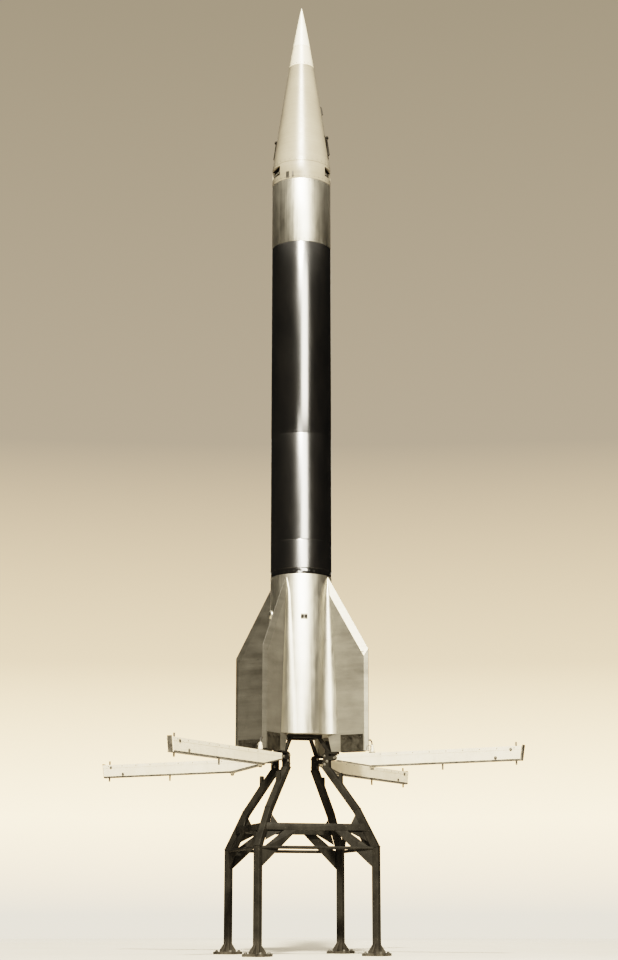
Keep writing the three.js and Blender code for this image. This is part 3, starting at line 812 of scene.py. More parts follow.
@dataclass
class RocketBody:
    """The rocket above its tail: tanks, instrument bay, port ring, nose and their fittings."""

    seam_width: float = 0.0022
    seam_depth: float = 0.0035
    band_recess: float = 0.003
    lip: float = 0.0035
    joint_lip: float = 0.0012
    nose_fullness: float = 0.86
    screw_radius: float = 0.0042
    screws_round: int = 36
    port_half_width: float = 0.092
    port_depth: float = 0.022
    port_degrees: Pair = (-128.0, 12.0)
    port_heights: Pair = (7.108, 7.200)
    socket_spread: float = 0.045
    port_screw_spread: float = 0.078
    aerial_degrees: Pair = (-165.0, 15.0)
    probe_degrees: float = 22.0
    probe_heights: Pair = (7.785, 7.880)
    cover_height: float = 7.088
    slot_covers: tuple[tuple[float, float, float], ...] = (
        (-89.0, 0.016, 0.066), (-78.0, 0.009, 0.060),
    )
    radius: float = field(init=False)
    nose_base: float = field(init=False)
    tip: float = field(init=False)

    def __post_init__(self) -> None:
        """Reads the body's radius and the nose's ends from the frame."""
        self.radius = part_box("forward_tank")[1].x
        self.nose_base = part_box("nose_main_cone")[0].z
        self.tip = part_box("nose_tip")[1].z

    def nose_radius(self, z: float) -> float:
        """The nose's radius at a height."""
        share = max(0.0, (self.tip - z) / (self.tip - self.nose_base))
        return self.radius * share ** self.nose_fullness

    def nose_lean(self, z: float) -> float:
        """How far the nose's surface leans back at a height, in degrees."""
        reach = 0.05
        return math.degrees(math.atan2(self.nose_radius(z) - self.nose_radius(z + reach), reach))

    def drum(self, low: float, high: float, radius: float, flare: float = 0.0) -> list[Pair]:
        """The profile of a straight section with a fine groove at each end.

        Args:
            low: Its lower end.
            high: Its upper end.
            radius: Its radius.
            flare: How far a lip at the lower end stands out.

        Returns:
            The profile.
        """
        foot = radius + flare
        inner = radius - self.seam_depth
        half = self.seam_width / 2
        rise = [(foot, low + 2 * self.seam_width)]
        if flare > 0.0:
            rise += [(foot, low + 0.006), (radius, low + 0.018)]
        return [
            (0.0, low), (inner, low), (inner, low + half), (foot - half, low + half), *rise,
            (radius, high - 2 * self.seam_width), (radius - half, high - half), (inner, high - half),
            (inner, high), (0.0, high),
        ]

    def build_drums(self) -> None:
        """Turns the tanks, the bands and the instrument bay."""
        flares = {"tank_skirt": self.lip, "aft_tank": self.joint_lip}
        finishes = {"instrument_bay": FINISH.body_sheet, "tank_base_band": FINISH.band_enamel}
        for node in ("tank_base_band", "tank_skirt", "aft_tank", "forward_tank", "instrument_bay"):
            radius = self.radius - (self.band_recess if node == "tank_base_band" else 0.0)
            finish = finishes.get(node, FINISH.tank_enamel)
            profile = self.drum(*heights_of(node), radius, flares.get(node, 0.0))
            MeshDraft().turned(profile).piece(f"{node}_shell", finish, stands_for=[node])

    def build_port_ring(self) -> None:
        """Turns the ring under the nose and cuts its two pockets."""
        ring = MeshDraft().turned(self.drum(*heights_of("port_ring"), self.radius))
        shell = ring.piece("port_ring_shell", FINISH.nose_sheet, stands_for=["port_ring"])
        pockets = MeshDraft()
        half = self.port_half_width
        floor = math.sqrt(self.radius ** 2 - half ** 2) - self.port_depth
        low, high = self.port_heights
        for degrees in self.port_degrees:
            pockets.block((floor, -half, low), (self.radius + 0.05, half, high), about_axis(degrees))
        cut_pockets(shell, pockets)
        self.build_port_panels_painted_shade(floor)

    def build_port_panels_painted_shade(self, floor: float) -> None:
        """Fills the two pockets with a dark panel, its sockets and its screws, and lines the pockets'
        upper and lower walls with thin black plates. The black of the lining, and partly of the panel, is
        painted shade of the deep pockets.

        Args:
            floor: The distance of the pockets' floor from the axis.
        """
        low, high = self.port_heights
        half = self.port_half_width - 0.004
        face = floor + 0.004
        socket = [(0.0, 0.0), (0.017, 0.0), (0.017, 0.010), (0.013, 0.011), (0.012, 0.005), (0.0, 0.005)]
        panels, fittings = MeshDraft(), MeshDraft()
        for degrees in self.port_degrees:
            turn = about_axis(degrees)
            panels.block((floor - 0.001, -half, low + 0.003), (face, half, high - 0.003), turn)
            # Thin black plates on the pockets' upper and lower walls: painted shade in the recess.
            for z in (low, high - 0.001):
                panels.block((floor, -half, z), (floor + 0.020, half, z + 0.001), turn)
            for y in (-self.socket_spread, 0.0, self.socket_spread):
                fittings.turned(socket, 24, turn @ facing((face, y, (low + high) / 2), (1, 0, 0)))
            for y in (-self.port_screw_spread, self.port_screw_spread):
                for z in (low + 0.014, high - 0.014):
                    fittings.rivet(turn @ facing((face, y, z), (1, 0, 0)), 0.005, 0.002)
        panels.piece("port_panels_painted_shade", FINISH.matt_black)
        fittings.piece("port_fittings", FINISH.fitting_steel)

    def build_nose(self) -> None:
        """Turns the three sections of the nose."""
        groove = self.seam_depth * 0.6
        sections = (("nose_main_cone", 20, FINISH.nose_sheet),
                    ("nose_front_cone", 5, FINISH.front_cone_sheet),
                    ("nose_tip", 14, FINISH.tip_metal))
        for node, count, finish in sections:
            low, high = heights_of(node)
            top = high - (0.010 if node == "nose_tip" else 0.0)
            heights = [low + (top - low) * step / count for step in range(count + 1)]
            rows = [(self.nose_radius(z), z) for z in heights]
            foot = [(0.0, low), (rows[0][0] - groove, low), (rows[0][0] - groove, low + 0.0010)]
            rows[0] = (self.nose_radius(low + 0.0018), low + 0.0018)
            if node == "nose_tip":
                end = rows[-1][0]
                crown = [(end * 0.86, top + 0.004), (end * 0.55, top + 0.0078), (0.0, high)]
            else:
                crown = [(rows[-1][0] - groove, high), (0.0, high)]
                rows[-1] = (self.nose_radius(high - 0.0010), high - 0.0010)
            draft = MeshDraft().turned([*foot, *rows, *crown])
            draft.piece(f"{node}_shell", finish, stands_for=[node])

    def ring_of_screws(self, draft: MeshDraft, z: float, radius: float, count: int,
                       tilt: float = 0.0) -> None:
        """Adds a ring of screw heads.

        Args:
            draft: The draft that they go to.
            z: The ring's height.
            radius: The surface's radius there.
            count: The number of screws.
            tilt: How far the surface leans, in degrees above level.
        """
        lean = math.radians(tilt)
        for index in range(count):
            degrees = 360.0 * (index + 0.5) / count
            out = around(math.cos(lean), degrees, math.sin(lean))
            draft.rivet(facing(around(radius, degrees, z), out), self.screw_radius, 0.0009)

    def build_screws(self) -> None:
        """Adds the screws beside the seams of the bare sections and of the tanks."""
        bare, black = MeshDraft(), MeshDraft()
        low, high = heights_of("instrument_bay")
        for z in (low + 0.022, high - 0.022, high + 0.022):
            self.ring_of_screws(bare, z, self.radius, self.screws_round)
        for node, count in (("nose_main_cone", 32), ("nose_front_cone", 19)):
            z = heights_of(node)[0]
            self.ring_of_screws(bare, z + 0.020, self.nose_radius(z + 0.020), count, self.nose_lean(z))
        bare.piece("bare_section_screws", FINISH.fitting_steel)
        for node, shift, recess in (("tank_base_band", 0.025, self.band_recess),
                                    ("forward_tank", 0.020, 0.0)):
            z = heights_of(node)[0] + shift
            self.ring_of_screws(black, z, self.radius - recess, self.screws_round)
        black.piece("tank_screws", FINISH.tank_enamel)

    def build_aerials(self) -> None:
        """Dresses the two aerial blades and adds the feet that hold them."""
        feet = MeshDraft()
        pad = [(0.0, -0.002), (0.017, -0.002), (0.017, 0.0015), (0.012, 0.004), (0.0, 0.004)]
        knob = [(0.0, 0.0), (0.010, 0.0), (0.010, 0.010), (0.016, 0.016), (0.017, 0.024),
                (0.013, 0.031), (0.0, 0.034)]
        for side, degrees in zip(("left", "right"), self.aerial_degrees):
            node = f"aerial_blade_{side}"
            FINISH.matt_black.dress_node(node, 0.003)
            low, high = heights_of(node)
            for z in (low - 0.010, high + 0.004):
                lean = math.radians(self.nose_lean(z))
                out = around(math.cos(lean), degrees, math.sin(lean))
                feet.turned(pad, 20, facing(around(self.nose_radius(z), degrees, z), out))
            z = high - 0.012
            stem = facing(around(self.nose_radius(z), degrees, z), around(1.0, degrees, 0.25))
            feet.turned(knob, 24, stem)
        feet.piece("aerial_feet", FINISH.matt_black)

    def build_covers(self) -> None:
        """Adds the slim dark covers on the port ring and on the nose."""
        covers = MeshDraft()
        middle = self.cover_height
        for degrees, half_width, tall in self.slot_covers:
            covers.block((self.radius - 0.003, -half_width, middle - tall / 2),
                         (self.radius + 0.0015, half_width, middle + tall / 2), about_axis(degrees))
        covers.piece("slot_covers", FINISH.fitting_steel)
        low, high = self.probe_heights
        sunk, proud = -0.002, 0.014
        edge = [(self.nose_radius(z) + out, z) for z, out in
                ((low, sunk), (low + 0.008, proud), (high - 0.020, proud), (high, sunk))]
        probe = MeshDraft().prism(edge, -0.006, 0.006, about_axis(self.probe_degrees))
        probe.piece("nose_probe", FINISH.matt_black)

    def build(self) -> None:
        """Builds and dresses everything above the tail."""
        self.build_drums()
        self.build_port_ring()
        self.build_nose()
        self.build_screws()
        self.build_aerials()
        self.build_covers()


@dataclass
class TailUnit:
    """The tail with its fins, fillets, shoes, lugs, engine and nozzle."""

    wall: float = 0.010
    flange_inner: float = 0.178
    flange_thick: float = 0.012
    fillet_radii: Pair = (0.145, 0.040)
    fillet_heights: Pair = (1.8765, 3.255)
    fillet_shoulder: float = 3.080
    fin_top: float = 3.277
    fin_face_top: float = 3.156
    fin_half: float = 0.020
    fin_tip: float = 0.675
    fin_kink: float = 2.606
    fin_bevel: float = 0.035
    fin_edge: float = 0.003
    seam_start: float = 0.385
    seam_half: float = 0.002
    rivet_pitch: float = 0.045
    rivet_radius: float = 0.0034
    rivet_height: float = 0.0009
    shoe_bolts: tuple[float, ...] = (0.440, 0.520, 0.600)
    shoe_middle: float = 1.835
    shoe_skin: float = 0.0063
    lug_degrees: Pair = (-135.0, 45.0)
    lug_height: float = 2.946
    socket_degrees: float = -55.0
    socket_height: float = 2.903
    throat_radius: float = 0.068
    throat: float = 2.190
    nozzle_wall: float = 0.007
    nozzle_bands: tuple[float, ...] = (0.12, 0.34, 0.58)
    radius: float = field(init=False)
    low: float = field(init=False)
    high: float = field(init=False)

    def __post_init__(self) -> None:
        """Reads the tail's size from the frame."""
        bottom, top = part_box("tail_section")
        self.radius, self.low, self.high = top.x, bottom.z, top.z

    def build_shell(self) -> None:
        """Turns the tail, open below, with its inward flange."""
        inside = self.radius - self.wall
        deck = self.high - self.flange_thick
        ledge = self.low + self.flange_thick
        outer = self.radius
        profile = [
            (self.flange_inner, self.low + 0.001), (self.flange_inner + 0.001, self.low),
            (outer - 0.002, self.low), (outer, self.low + 0.002), (outer, self.high - 0.0045),
            (outer - 0.0011, self.high - 0.0012), (outer - 0.0035, self.high - 0.0011),
            (outer - 0.0035, self.high), (0.0, self.high),
        ]
        hollow = [(0.0, deck), (inside, deck), (inside, ledge), (self.flange_inner, ledge)]
        points = [*profile, *hollow, profile[0]]
        MeshDraft().turned(points).piece("tail_shell", FINISH.body_sheet, stands_for=["tail_section"])

    def fillet_radius(self, z: float) -> float:
        """The radius of the fillet between fin and tail, which widens downwards.

        Args:
            z: The height.

        Returns:
            The fillet's radius there.
        """
        low, high = self.fillet_heights
        share = min(1.0, (z - low) / (self.fillet_shoulder - low))
        radius = self.fillet_radii[0] + (self.fillet_radii[1] - self.fillet_radii[0]) * share
        fade = max(0.0, (z - self.fillet_shoulder) / (high - self.fillet_shoulder))
        return radius * (1.0 - 0.85 * fade)

    def root_half(self, z: float) -> float:
        """Half the fin's thickness at its root; it thins out above the flat face."""
        share = (self.fin_top - z) / (self.fin_top - self.fin_face_top)
        return min(self.fin_half, self.fin_edge + (self.fin_half - self.fin_edge) * share)

    def fillet_row(self, z: float, side: float, steps: int = 14) -> list[Vector]:
        """The outline of one fillet at a height: its hollow face and the corner behind it.

        Args:
            z: The height.
            side: The fin's side, 1 or -1.
            steps: The number of steps round the hollow face.

        Returns:
            The points, round the section.
        """
        bend = self.fillet_radius(z)
        half = self.root_half(z)
        across = half + bend
        along = math.sqrt((self.radius + bend) ** 2 - across ** 2)
        start = math.atan2(-across, -along)
        end = -math.pi / 2
        row = []
        for step in range(steps + 1):
            angle = start + (end - start) * step / steps
            y = side * (across + bend * math.sin(angle))
            row.append(Vector((along + bend * math.cos(angle), y, z)))
        inset = 0.0015
        row.append(Vector((row[-1].x, side * (half - inset), z)))
        row.append(Vector((self.radius - inset, side * (half - inset), z)))
        row.append(Vector((row[0].x - inset * 0.9, row[0].y - side * inset * 0.4, z)))
        return row

    def build_fillets(self) -> None:
        """Builds the hollow sheet fillets on both sides of every fin's root."""
        levels = 24
        low, high = self.fillet_heights
        heights = [low + (high - low) * level / levels for level in range(levels + 1)]
        for quarter in Quarter:
            draft = MeshDraft()
            for side in (-1.0, 1.0):
                rows = [self.fillet_row(z, side) for z in heights]
                count = len(rows[0])
                faces = [tuple(range(count)), tuple(range(count * levels, count * (levels + 1)))]
                for base in range(0, levels * count, count):
                    for index in range(count):
                        after = (index + 1) % count
                        faces.append((base + index, base + after, base + count + after,
                                      base + count + index))
                draft.add([point for row in rows for point in row], faces, quarter.turn)
            draft.piece(f"fin_fillets_{quarter.label}", FINISH.body_sheet, sharp=40.0)

    def rivet_line(self, draft: MeshDraft, start: Vector, end: Vector, out: Vector,
                   turn: Matrix) -> None:
        """Adds rivets at an even pitch along a line.

        Args:
            draft: The draft that they go to.
            start: The line's start.
            end: The line's end.
            out: The direction in which the heads stand.
            turn: The quarter's turn.
        """
        count = max(2, round((end - start).length / self.rivet_pitch))
        for index in range(count + 1):
            place = turn @ facing(start.lerp(end, index / count), out)
            draft.rivet(place, self.rivet_radius, self.rivet_height, 8)

    def fin_finish(self, quarter: Quarter) -> Finish:
        """The sheet that a quarter's fin is made of: the two on the left get darker copies of it, painted
        shade on the front-left fin and a painted shadow on the back-left fin.
        """
        shaded_sheets = {Quarter.FRONT_LEFT: FINISH.fin_sheet_painted_shade, Quarter.BACK_LEFT: FINISH.fin_sheet_painted_shadow}
        return shaded_sheets.get(quarter, FINISH.fin_sheet)

    def build_fins(self) -> None:
        """Dresses the fins and adds their rivets, seams and, on the two right-hand fins, pale edge skins
        that paint the highlight of their leading edges.
        """
        for quarter in Quarter:
            finish = self.fin_finish(quarter)
            finish.dress_node(f"fin_{quarter.label}", 0.0015)
            self.build_fin_rivets(quarter, finish)
            self.build_fin_seams(quarter, finish)
            # Only the two right-hand fins get the pale edge skins, a painted highlight.
            if finish is FINISH.fin_sheet:
                self.build_painted_highlight_skins(quarter)

    def build_fin_rivets(self, quarter: Quarter, finish: Finish) -> None:
        """Adds the rivets along the frame under a fin's skins.

        Args:
            quarter: The fin's quarter.
            finish: The fin's finish.
        """
        foot = heights_of(f"fin_{quarter.label}")[0] + 0.03
        tip = self.fin_tip - self.fin_bevel - 0.014
        shoulder = self.fin_kink - 0.04
        crossbar = self.fin_kink - 0.03
        lines = (((tip, foot), (tip, shoulder)), ((tip, shoulder), (0.335, self.high - 0.24)),
                 ((0.36, foot), (tip, foot)), ((0.40, crossbar), (tip, crossbar)))
        draft = MeshDraft()
        for side in (-1.0, 1.0):
            face = side * self.fin_half
            for (start_u, start_z), (end_u, end_z) in lines:
                self.rivet_line(draft, Vector((start_u, face, start_z)), Vector((end_u, face, end_z)),
                                Vector((0.0, side, 0.0)), quarter.turn)
        draft.piece(f"fin_rivets_{quarter.label}", finish)

    def build_fin_seams(self, quarter: Quarter, finish: Finish) -> None:
        """Adds the two raised seams across a fin's skins.

        Args:
            quarter: The fin's quarter.
            finish: The fin's finish.
        """
        draft = MeshDraft()
        for side in (-1.0, 1.0):
            face = side * self.fin_half
            low, high = sorted((face - side * 0.0006, face + side * 0.0008))
            for z in (UPPER_FIN_SEAM, LOWER_FIN_SEAM):
                draft.block((self.seam_start, low, z - self.seam_half),
                            (self.fin_tip - self.fin_bevel, high, z + self.seam_half), quarter.turn)
        draft.piece(f"fin_seams_{quarter.label}", finish)

    def build_painted_highlight_skins(self, quarter: Quarter) -> None:
        """Covers the bevels of a fin's leading edge with thin pale skins: a painted highlight where the
        bevel catches the light.

        Args:
            quarter: The fin's quarter.
        """
        root = self.radius + 0.0003
        slope = (self.fin_top - self.fin_kink) / (self.fin_tip - root)
        inner_tip = self.fin_tip - self.fin_bevel
        face_end = self.fin_face_top - slope * (inner_tip - root)
        draft = MeshDraft()
        for side in (-1.0, 1.0):
            thin, thick = side * self.fin_edge, side * self.fin_half
            corners = [Vector((root, thin, self.fin_top)), Vector((self.fin_tip, thin, self.fin_kink)),
                       Vector((inner_tip, thick, face_end)), Vector((root, thick, self.fin_face_top))]
            out = (corners[1] - corners[0]).cross(corners[3] - corners[0]).normalized()
            out = out if out.y * side > 0.0 else -out
            points = [corner + out * proud for proud in (-0.0004, 0.0008) for corner in corners]
            faces = [(0, 1, 2, 3), (7, 6, 5, 4)]
            faces += [(index, (index + 1) % 4, (index + 1) % 4 + 4, index + 4) for index in range(4)]
            draft.add(points, faces, quarter.turn)
        draft.piece(f"fin_edge_skins_{quarter.label}", FINISH.painted_highlight_metal)

    def build_shoes(self) -> None:
        """Dresses the shoes under the fins and adds their clamp bolts."""
        for quarter in Quarter:
            node = f"fin_shoe_{quarter.label}"
            FINISH.shoe_steel.dress_node(node, 0.0015)
            bolts = MeshDraft()
            face = self.fin_half + self.shoe_skin
            for side in (-1.0, 1.0):
                for u in self.shoe_bolts:
                    place = quarter.turn @ facing((u, side * face, self.shoe_middle), (0.0, side, 0.0))
                    bolts.bolt(place, 0.008, 0.007)
            bolts.piece(f"fin_shoe_bolts_{quarter.label}", FINISH.shoe_steel)

    def build_lugs(self) -> None:
        """Adds the round lugs on the tail."""
        boss = [(0.0, -0.006), (0.041, -0.006), (0.041, 0.008), (0.039, 0.011), (0.036, 0.013),
                (0.034, 0.017), (0.026, 0.021), (0.014, 0.0235), (0.0, 0.0245)]
        lugs = MeshDraft()
        for degrees in self.lug_degrees:
            spot = around(self.radius, degrees, self.lug_height)
            lugs.turned(boss, 40, facing(spot, around(1.0, degrees, 0.0)))
        lugs.piece("tail_lugs", FINISH.body_sheet, sharp=50.0)

    def build_socket_plate(self) -> None:
        """Adds the plate with two sockets on the tail."""
        turn = about_axis(self.socket_degrees)
        surface = self.radius - 0.004
        face = surface + 0.0065
        middle = self.socket_height
        plate = MeshDraft().block((surface, -0.030, middle - 0.024), (face, 0.030, middle + 0.024), turn)
        plate.piece("tail_socket_plate", FINISH.fitting_steel)
        cup = [(0.0, 0.0), (0.0135, 0.0), (0.0135, 0.007), (0.0105, 0.008), (0.0100, 0.003), (0.0, 0.003)]
        sockets = MeshDraft()
        for y in (-0.016, 0.016):
            sockets.turned(cup, 24, turn @ facing((face, y, middle), (1.0, 0.0, 0.0)))
        sockets.piece("tail_sockets", FINISH.matt_black)

    def build_tail_rivets(self) -> None:
        """Adds the three rings of rivets on the tail, left open where the fillets cover it."""
        count = 60
        rivets = MeshDraft()
        rings = ((self.high - 0.020, 10.5), (self.high - 0.045, 10.5), (self.low + 0.022, 24.0))
        for z, covered in rings:
            for index in range(count):
                degrees = 360.0 * (index + 0.5) / count
                if abs((degrees + 45.0) % 90.0 - 45.0) < covered:
                    continue
                place = facing(around(self.radius, degrees, z), around(1.0, degrees, 0.0))
                rivets.rivet(place, self.rivet_radius, self.rivet_height, 8)
        rivets.piece("tail_rivets", FINISH.body_sheet)

    def bell_point(self, share: float) -> Pair:
        """A point on the outline of the nozzle's bell.

        Args:
            share: How much of the way it lies from the mouth up to the throat.

        Returns:
            Its radius and its height.
        """
        mouth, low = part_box("nozzle")[1].x, heights_of("nozzle")[0]
        radius = self.throat_radius + (mouth - self.throat_radius) * math.sqrt(1.0 - share)
        return radius, low + (self.throat - low) * share

    def build_engine(self) -> None:
        """Dresses the engine block and turns the nozzle with its cooling bands."""
        FINISH.engine_steel.dress_node("engine_block", 0.003)
        steps, turns = 18, 64
        bell = []
        for step in range(steps + 1):
            radius, z = self.bell_point(step / steps)
            bell.append((radius - 0.0005, z))
        inner = [(radius - self.nozzle_wall, z) for radius, z in reversed(bell)]
        top = heights_of("nozzle")[1] - 0.0005
        crown = [(0.132, top), (0.0, top), (0.0, self.throat + 0.010)]
        draft = MeshDraft().turned([*bell, *crown, *inner, bell[0]], 96)
        for share in self.nozzle_bands:
            radius, z = self.bell_point(share)
            path = [around(radius - 0.001, 360.0 * index / turns, z) for index in range(turns)]
            draft.tube(path, 0.0045, 8, loop=True)
        draft.piece("nozzle_shell", FINISH.engine_steel, stands_for=["nozzle"], sharp=45.0)

    def build(self) -> None:
        """Builds and dresses the whole tail."""
        self.build_shell()
        self.build_fillets()
        self.build_fins()
        self.build_shoes()
        self.build_lugs()
        self.build_socket_plate()
        self.build_tail_rivets()
        self.build_engine()


@dataclass
class GuideArm:
    """One hinged guide arm with its release rod, pin, lead and pull ring."""

    quarter: Quarter
    half_width: float = 0.030
    top: float = 1.697
    bottom: float = 1.581
    box_u: float = 0.384
    taper_u: float = 0.700
    root_bottom: float = 1.640
    end_u: Pair = (2.088, 2.106)
    flange_tall: float = 0.010
    strip_tall: float = 0.030
    skin: float = 0.0015
    side_bolts: int = 9
    first_bolt: float = 0.80
    bolt_pitch: float = 0.155
    end_bolts: tuple[Pair, ...] = ((2.01, 1.672), (1.872, 1.607))
    peg_u: float = 2.045
    hook_u: float = 1.373
    rod_u: float = 0.705
    rod_radius: float = 0.020
    rod_ends: Pair = (1.553, 1.765)
    ring_radius: float = 0.024
    ring_wire: float = 0.0021
    ring_middle: tuple[float, float, float] = (-0.018, -0.0275, 1.738)
    eye_height: float = 1.7545
    eye_reach: tuple[float, ...] = (-0.0135, -0.0220, -0.0302)
    lead_radius: float = 0.006
    lead_start: float = 1.812
    fin_tip: float = 0.6753

    @property
    def body(self) -> str:
        """The arm's own body."""
        return f"arm_{self.quarter.label}"

    def own_piece(self, draft: MeshDraft, kind: str, finish: Finish) -> None:
        """Makes a piece that moves with this arm."""
        draft.piece(f"{kind}_{self.quarter.label}", finish, self.body)

    def end_at(self, z: float) -> float:
        """How far out the slanted end of the arm is at a height."""
        low, high = self.end_u
        return low + (high - low) * (z - self.bottom) / (self.top - self.bottom)

    def on_face(self, u: float, z: float, side: float) -> Matrix:
        """A place on the skin of one side of the arm, facing outwards."""
        face = side * (self.half_width + self.skin)
        return self.quarter.turn @ facing((u, face, z), (0.0, side, 0.0))

    def build_trim(self) -> None:
        """Adds the flange along the lower edge and the strip along the upper edge; the flange is real,
        and its dark steel is painted shade of the arm's underside.
        """
        turn = self.quarter.turn
        low, high = self.bottom, self.bottom + self.flange_tall
        lower = [(self.box_u, self.root_bottom), (self.taper_u, low), (self.end_u[0], low)]
        upper = [(self.end_at(high), high), (self.taper_u, high),
                 (self.box_u, self.root_bottom + self.flange_tall)]
        under = [(u, z - 0.002) for u, z in reversed(lower)]
        outer = self.half_width + self.skin
        start, strip_low = self.box_u + 0.004, self.top - self.strip_tall
        band = [(start, strip_low), (self.end_at(strip_low), strip_low), (self.end_u[1], self.top),
                (start, self.top)]
        flange, strip = MeshDraft(), MeshDraft()
        for side in (-1.0, 1.0):
            ends = sorted((side * (self.half_width - 0.0005), side * outer))
            flange.prism([*lower, *upper], *ends, turn)
            strip.prism(band, *ends, turn)
        flange.prism([*lower, *under], -outer, outer, turn)
        # The flange is made of dark steel: painted shade along the arm's lower edge.
        self.own_piece(flange, "arm_flange_painted_shade", FINISH.fitting_steel)
        self.own_piece(strip, "arm_strip", FINISH.arm_paint)

    def build_bolts(self) -> None:
        """Adds the rivets of the strip and the flange, and the bolts at the arm's end."""
        bolts = MeshDraft()
        for side in (-1.0, 1.0):
            for index in range(self.side_bolts):
                u = self.first_bolt + self.bolt_pitch * index
                bolts.rivet(self.on_face(u, self.top - self.strip_tall / 2, side), 0.0045, 0.0022)
                bolts.rivet(self.on_face(u, self.bottom + self.flange_tall / 2, side), 0.0035, 0.0018)
        for u, z in self.end_bolts:
            for side in (-1.0, 1.0):
                bolts.bolt(self.on_face(u, z, side), 0.009, 0.008)
        self.own_piece(bolts, "arm_bolts", FINISH.fitting_steel)

    def build_end(self) -> None:
        """Adds the end plate, the pegs above and below it and the small hook under the arm."""
        turn = self.quarter.turn
        low, high = self.end_u
        foot, head = self.bottom - 0.004, self.top + 0.010
        slab = [(low, foot), (low + 0.009, foot), (high + 0.011, head), (high + 0.003, head)]
        ends = MeshDraft().prism(slab, -0.020, 0.020, turn)
        for u, start, end in ((self.peg_u, self.top, self.top + 0.034),
                              (self.peg_u, self.bottom - 0.034, self.bottom),
                              (self.hook_u, self.bottom - 0.050, self.bottom)):
            heights = (start - 0.002, start + 0.004, end - 0.004, end + 0.002)
            ends.tube([turn @ Vector((u, 0.0, z)) for z in heights], 0.0075, 14)
        self.own_piece(ends, "arm_end_fittings", FINISH.fitting_steel)

    def build_rod(self) -> None:
        """Turns the release rod with its collars and its dark tip."""
        low, high = self.rod_ends
        place = self.quarter.turn @ Matrix.Translation((self.rod_u, 0.0, 0.0))
        radius = self.rod_radius
        neck, foot, head = radius - 0.0045, low + 0.014, high - 0.001
        body = [
            (0.0, foot), (radius - 0.003, foot), (radius, low + 0.017), (radius, high - 0.040),
            (radius - 0.003, high - 0.022), (neck, high - 0.021), (neck, high - 0.016),
            (radius - 0.0040, high - 0.015), (radius - 0.0070, head), (0.0, head),
        ]
        name = f"release_rod_{self.quarter.label}"
        rod = MeshDraft().turned(body, 48, place)
        rod.piece(f"{name}_shell", FINISH.arm_paint, self.body, stands_for=[name])
        tip = [(0.0, low), (0.011, low), (0.014, low + 0.003), (0.014, low + 0.0142), (0.0, low + 0.0142)]
        fittings = MeshDraft().turned(tip, 32, place)
        bore, rim, top = radius + 0.0002, radius + 0.009, self.top + 0.009
        collar = [(bore, self.top), (rim, self.top), (rim, top - 0.002), (rim - 0.002, top), (bore, top),
                  (bore, self.top)]
        fittings.turned(collar, 48, place)
        self.own_piece(fittings, "release_rod_tip", FINISH.fitting_steel)

    def build_ring(self) -> None:
        """Adds the wire pull ring that hangs from the rod's head beside the fin's edge."""
        turn = self.quarter.turn
        count = 28
        shift, y, z = self.ring_middle
        path = []
        for index in range(count):
            spot = around(self.ring_radius, 360.0 * index / count, 0.0)
            path.append(turn @ Vector((self.rod_u + shift + spot.x, y, z + spot.y)))
        ring = MeshDraft().tube(path, self.ring_wire, 8, loop=True)
        eye = [turn @ Vector((self.rod_u, reach, self.eye_height)) for reach in self.eye_reach]
        ring.tube(eye, [0.0045, 0.0045, 0.0035], 10)
        self.own_piece(ring, "pull_ring", FINISH.fitting_steel)

    def build_lead(self) -> None:
        """Builds the release lead from the fin's outer edge to just above the rod, with its ferrules."""
        turn = self.quarter.turn
        start = Vector((self.fin_tip, 0.0, self.lead_start))
        bend = Vector((self.rod_u, 0.0, self.lead_start))
        end = Vector((self.rod_u, 0.0, self.rod_ends[1] + 0.0006))
        steps = 20
        path = []
        for step in range(steps + 1):
            share = step / steps
            path.append(turn @ (start.lerp(bend, share).lerp(bend.lerp(end, share), share)))
        name = f"release_lead_{self.quarter.label}"
        cable = MeshDraft().tube(path, self.lead_radius * 0.98, 20)
        cable.piece(f"{name}_cable", FINISH.cable_rubber, stands_for=[name])
        ferrules = MeshDraft()
        cuff = [(0.0, 0.0), (0.0095, 0.0), (0.0095, 0.006), (0.0072, 0.010), (0.0, 0.010)]
        ferrules.turned(cuff, 24, turn @ facing(start, (1.0, 0.0, -0.05)))
        ferrules.turned(cuff, 24, turn @ facing(end, (0.0, 0.0, 1.0)))
        ferrules.piece(f"release_lead_ferrules_{self.quarter.label}", FINISH.fitting_steel)

    def build(self) -> None:
        """Builds and dresses the arm."""
        FINISH.arm_paint.dress_node(f"guide_arm_{self.quarter.label}", 0.0015)
        FINISH.fitting_steel.dress_node(f"arm_pin_{self.quarter.label}", 0.001)
        self.build_trim()
        self.build_bolts()
        self.build_end()
        self.build_rod()
        self.build_ring()
        self.build_lead()


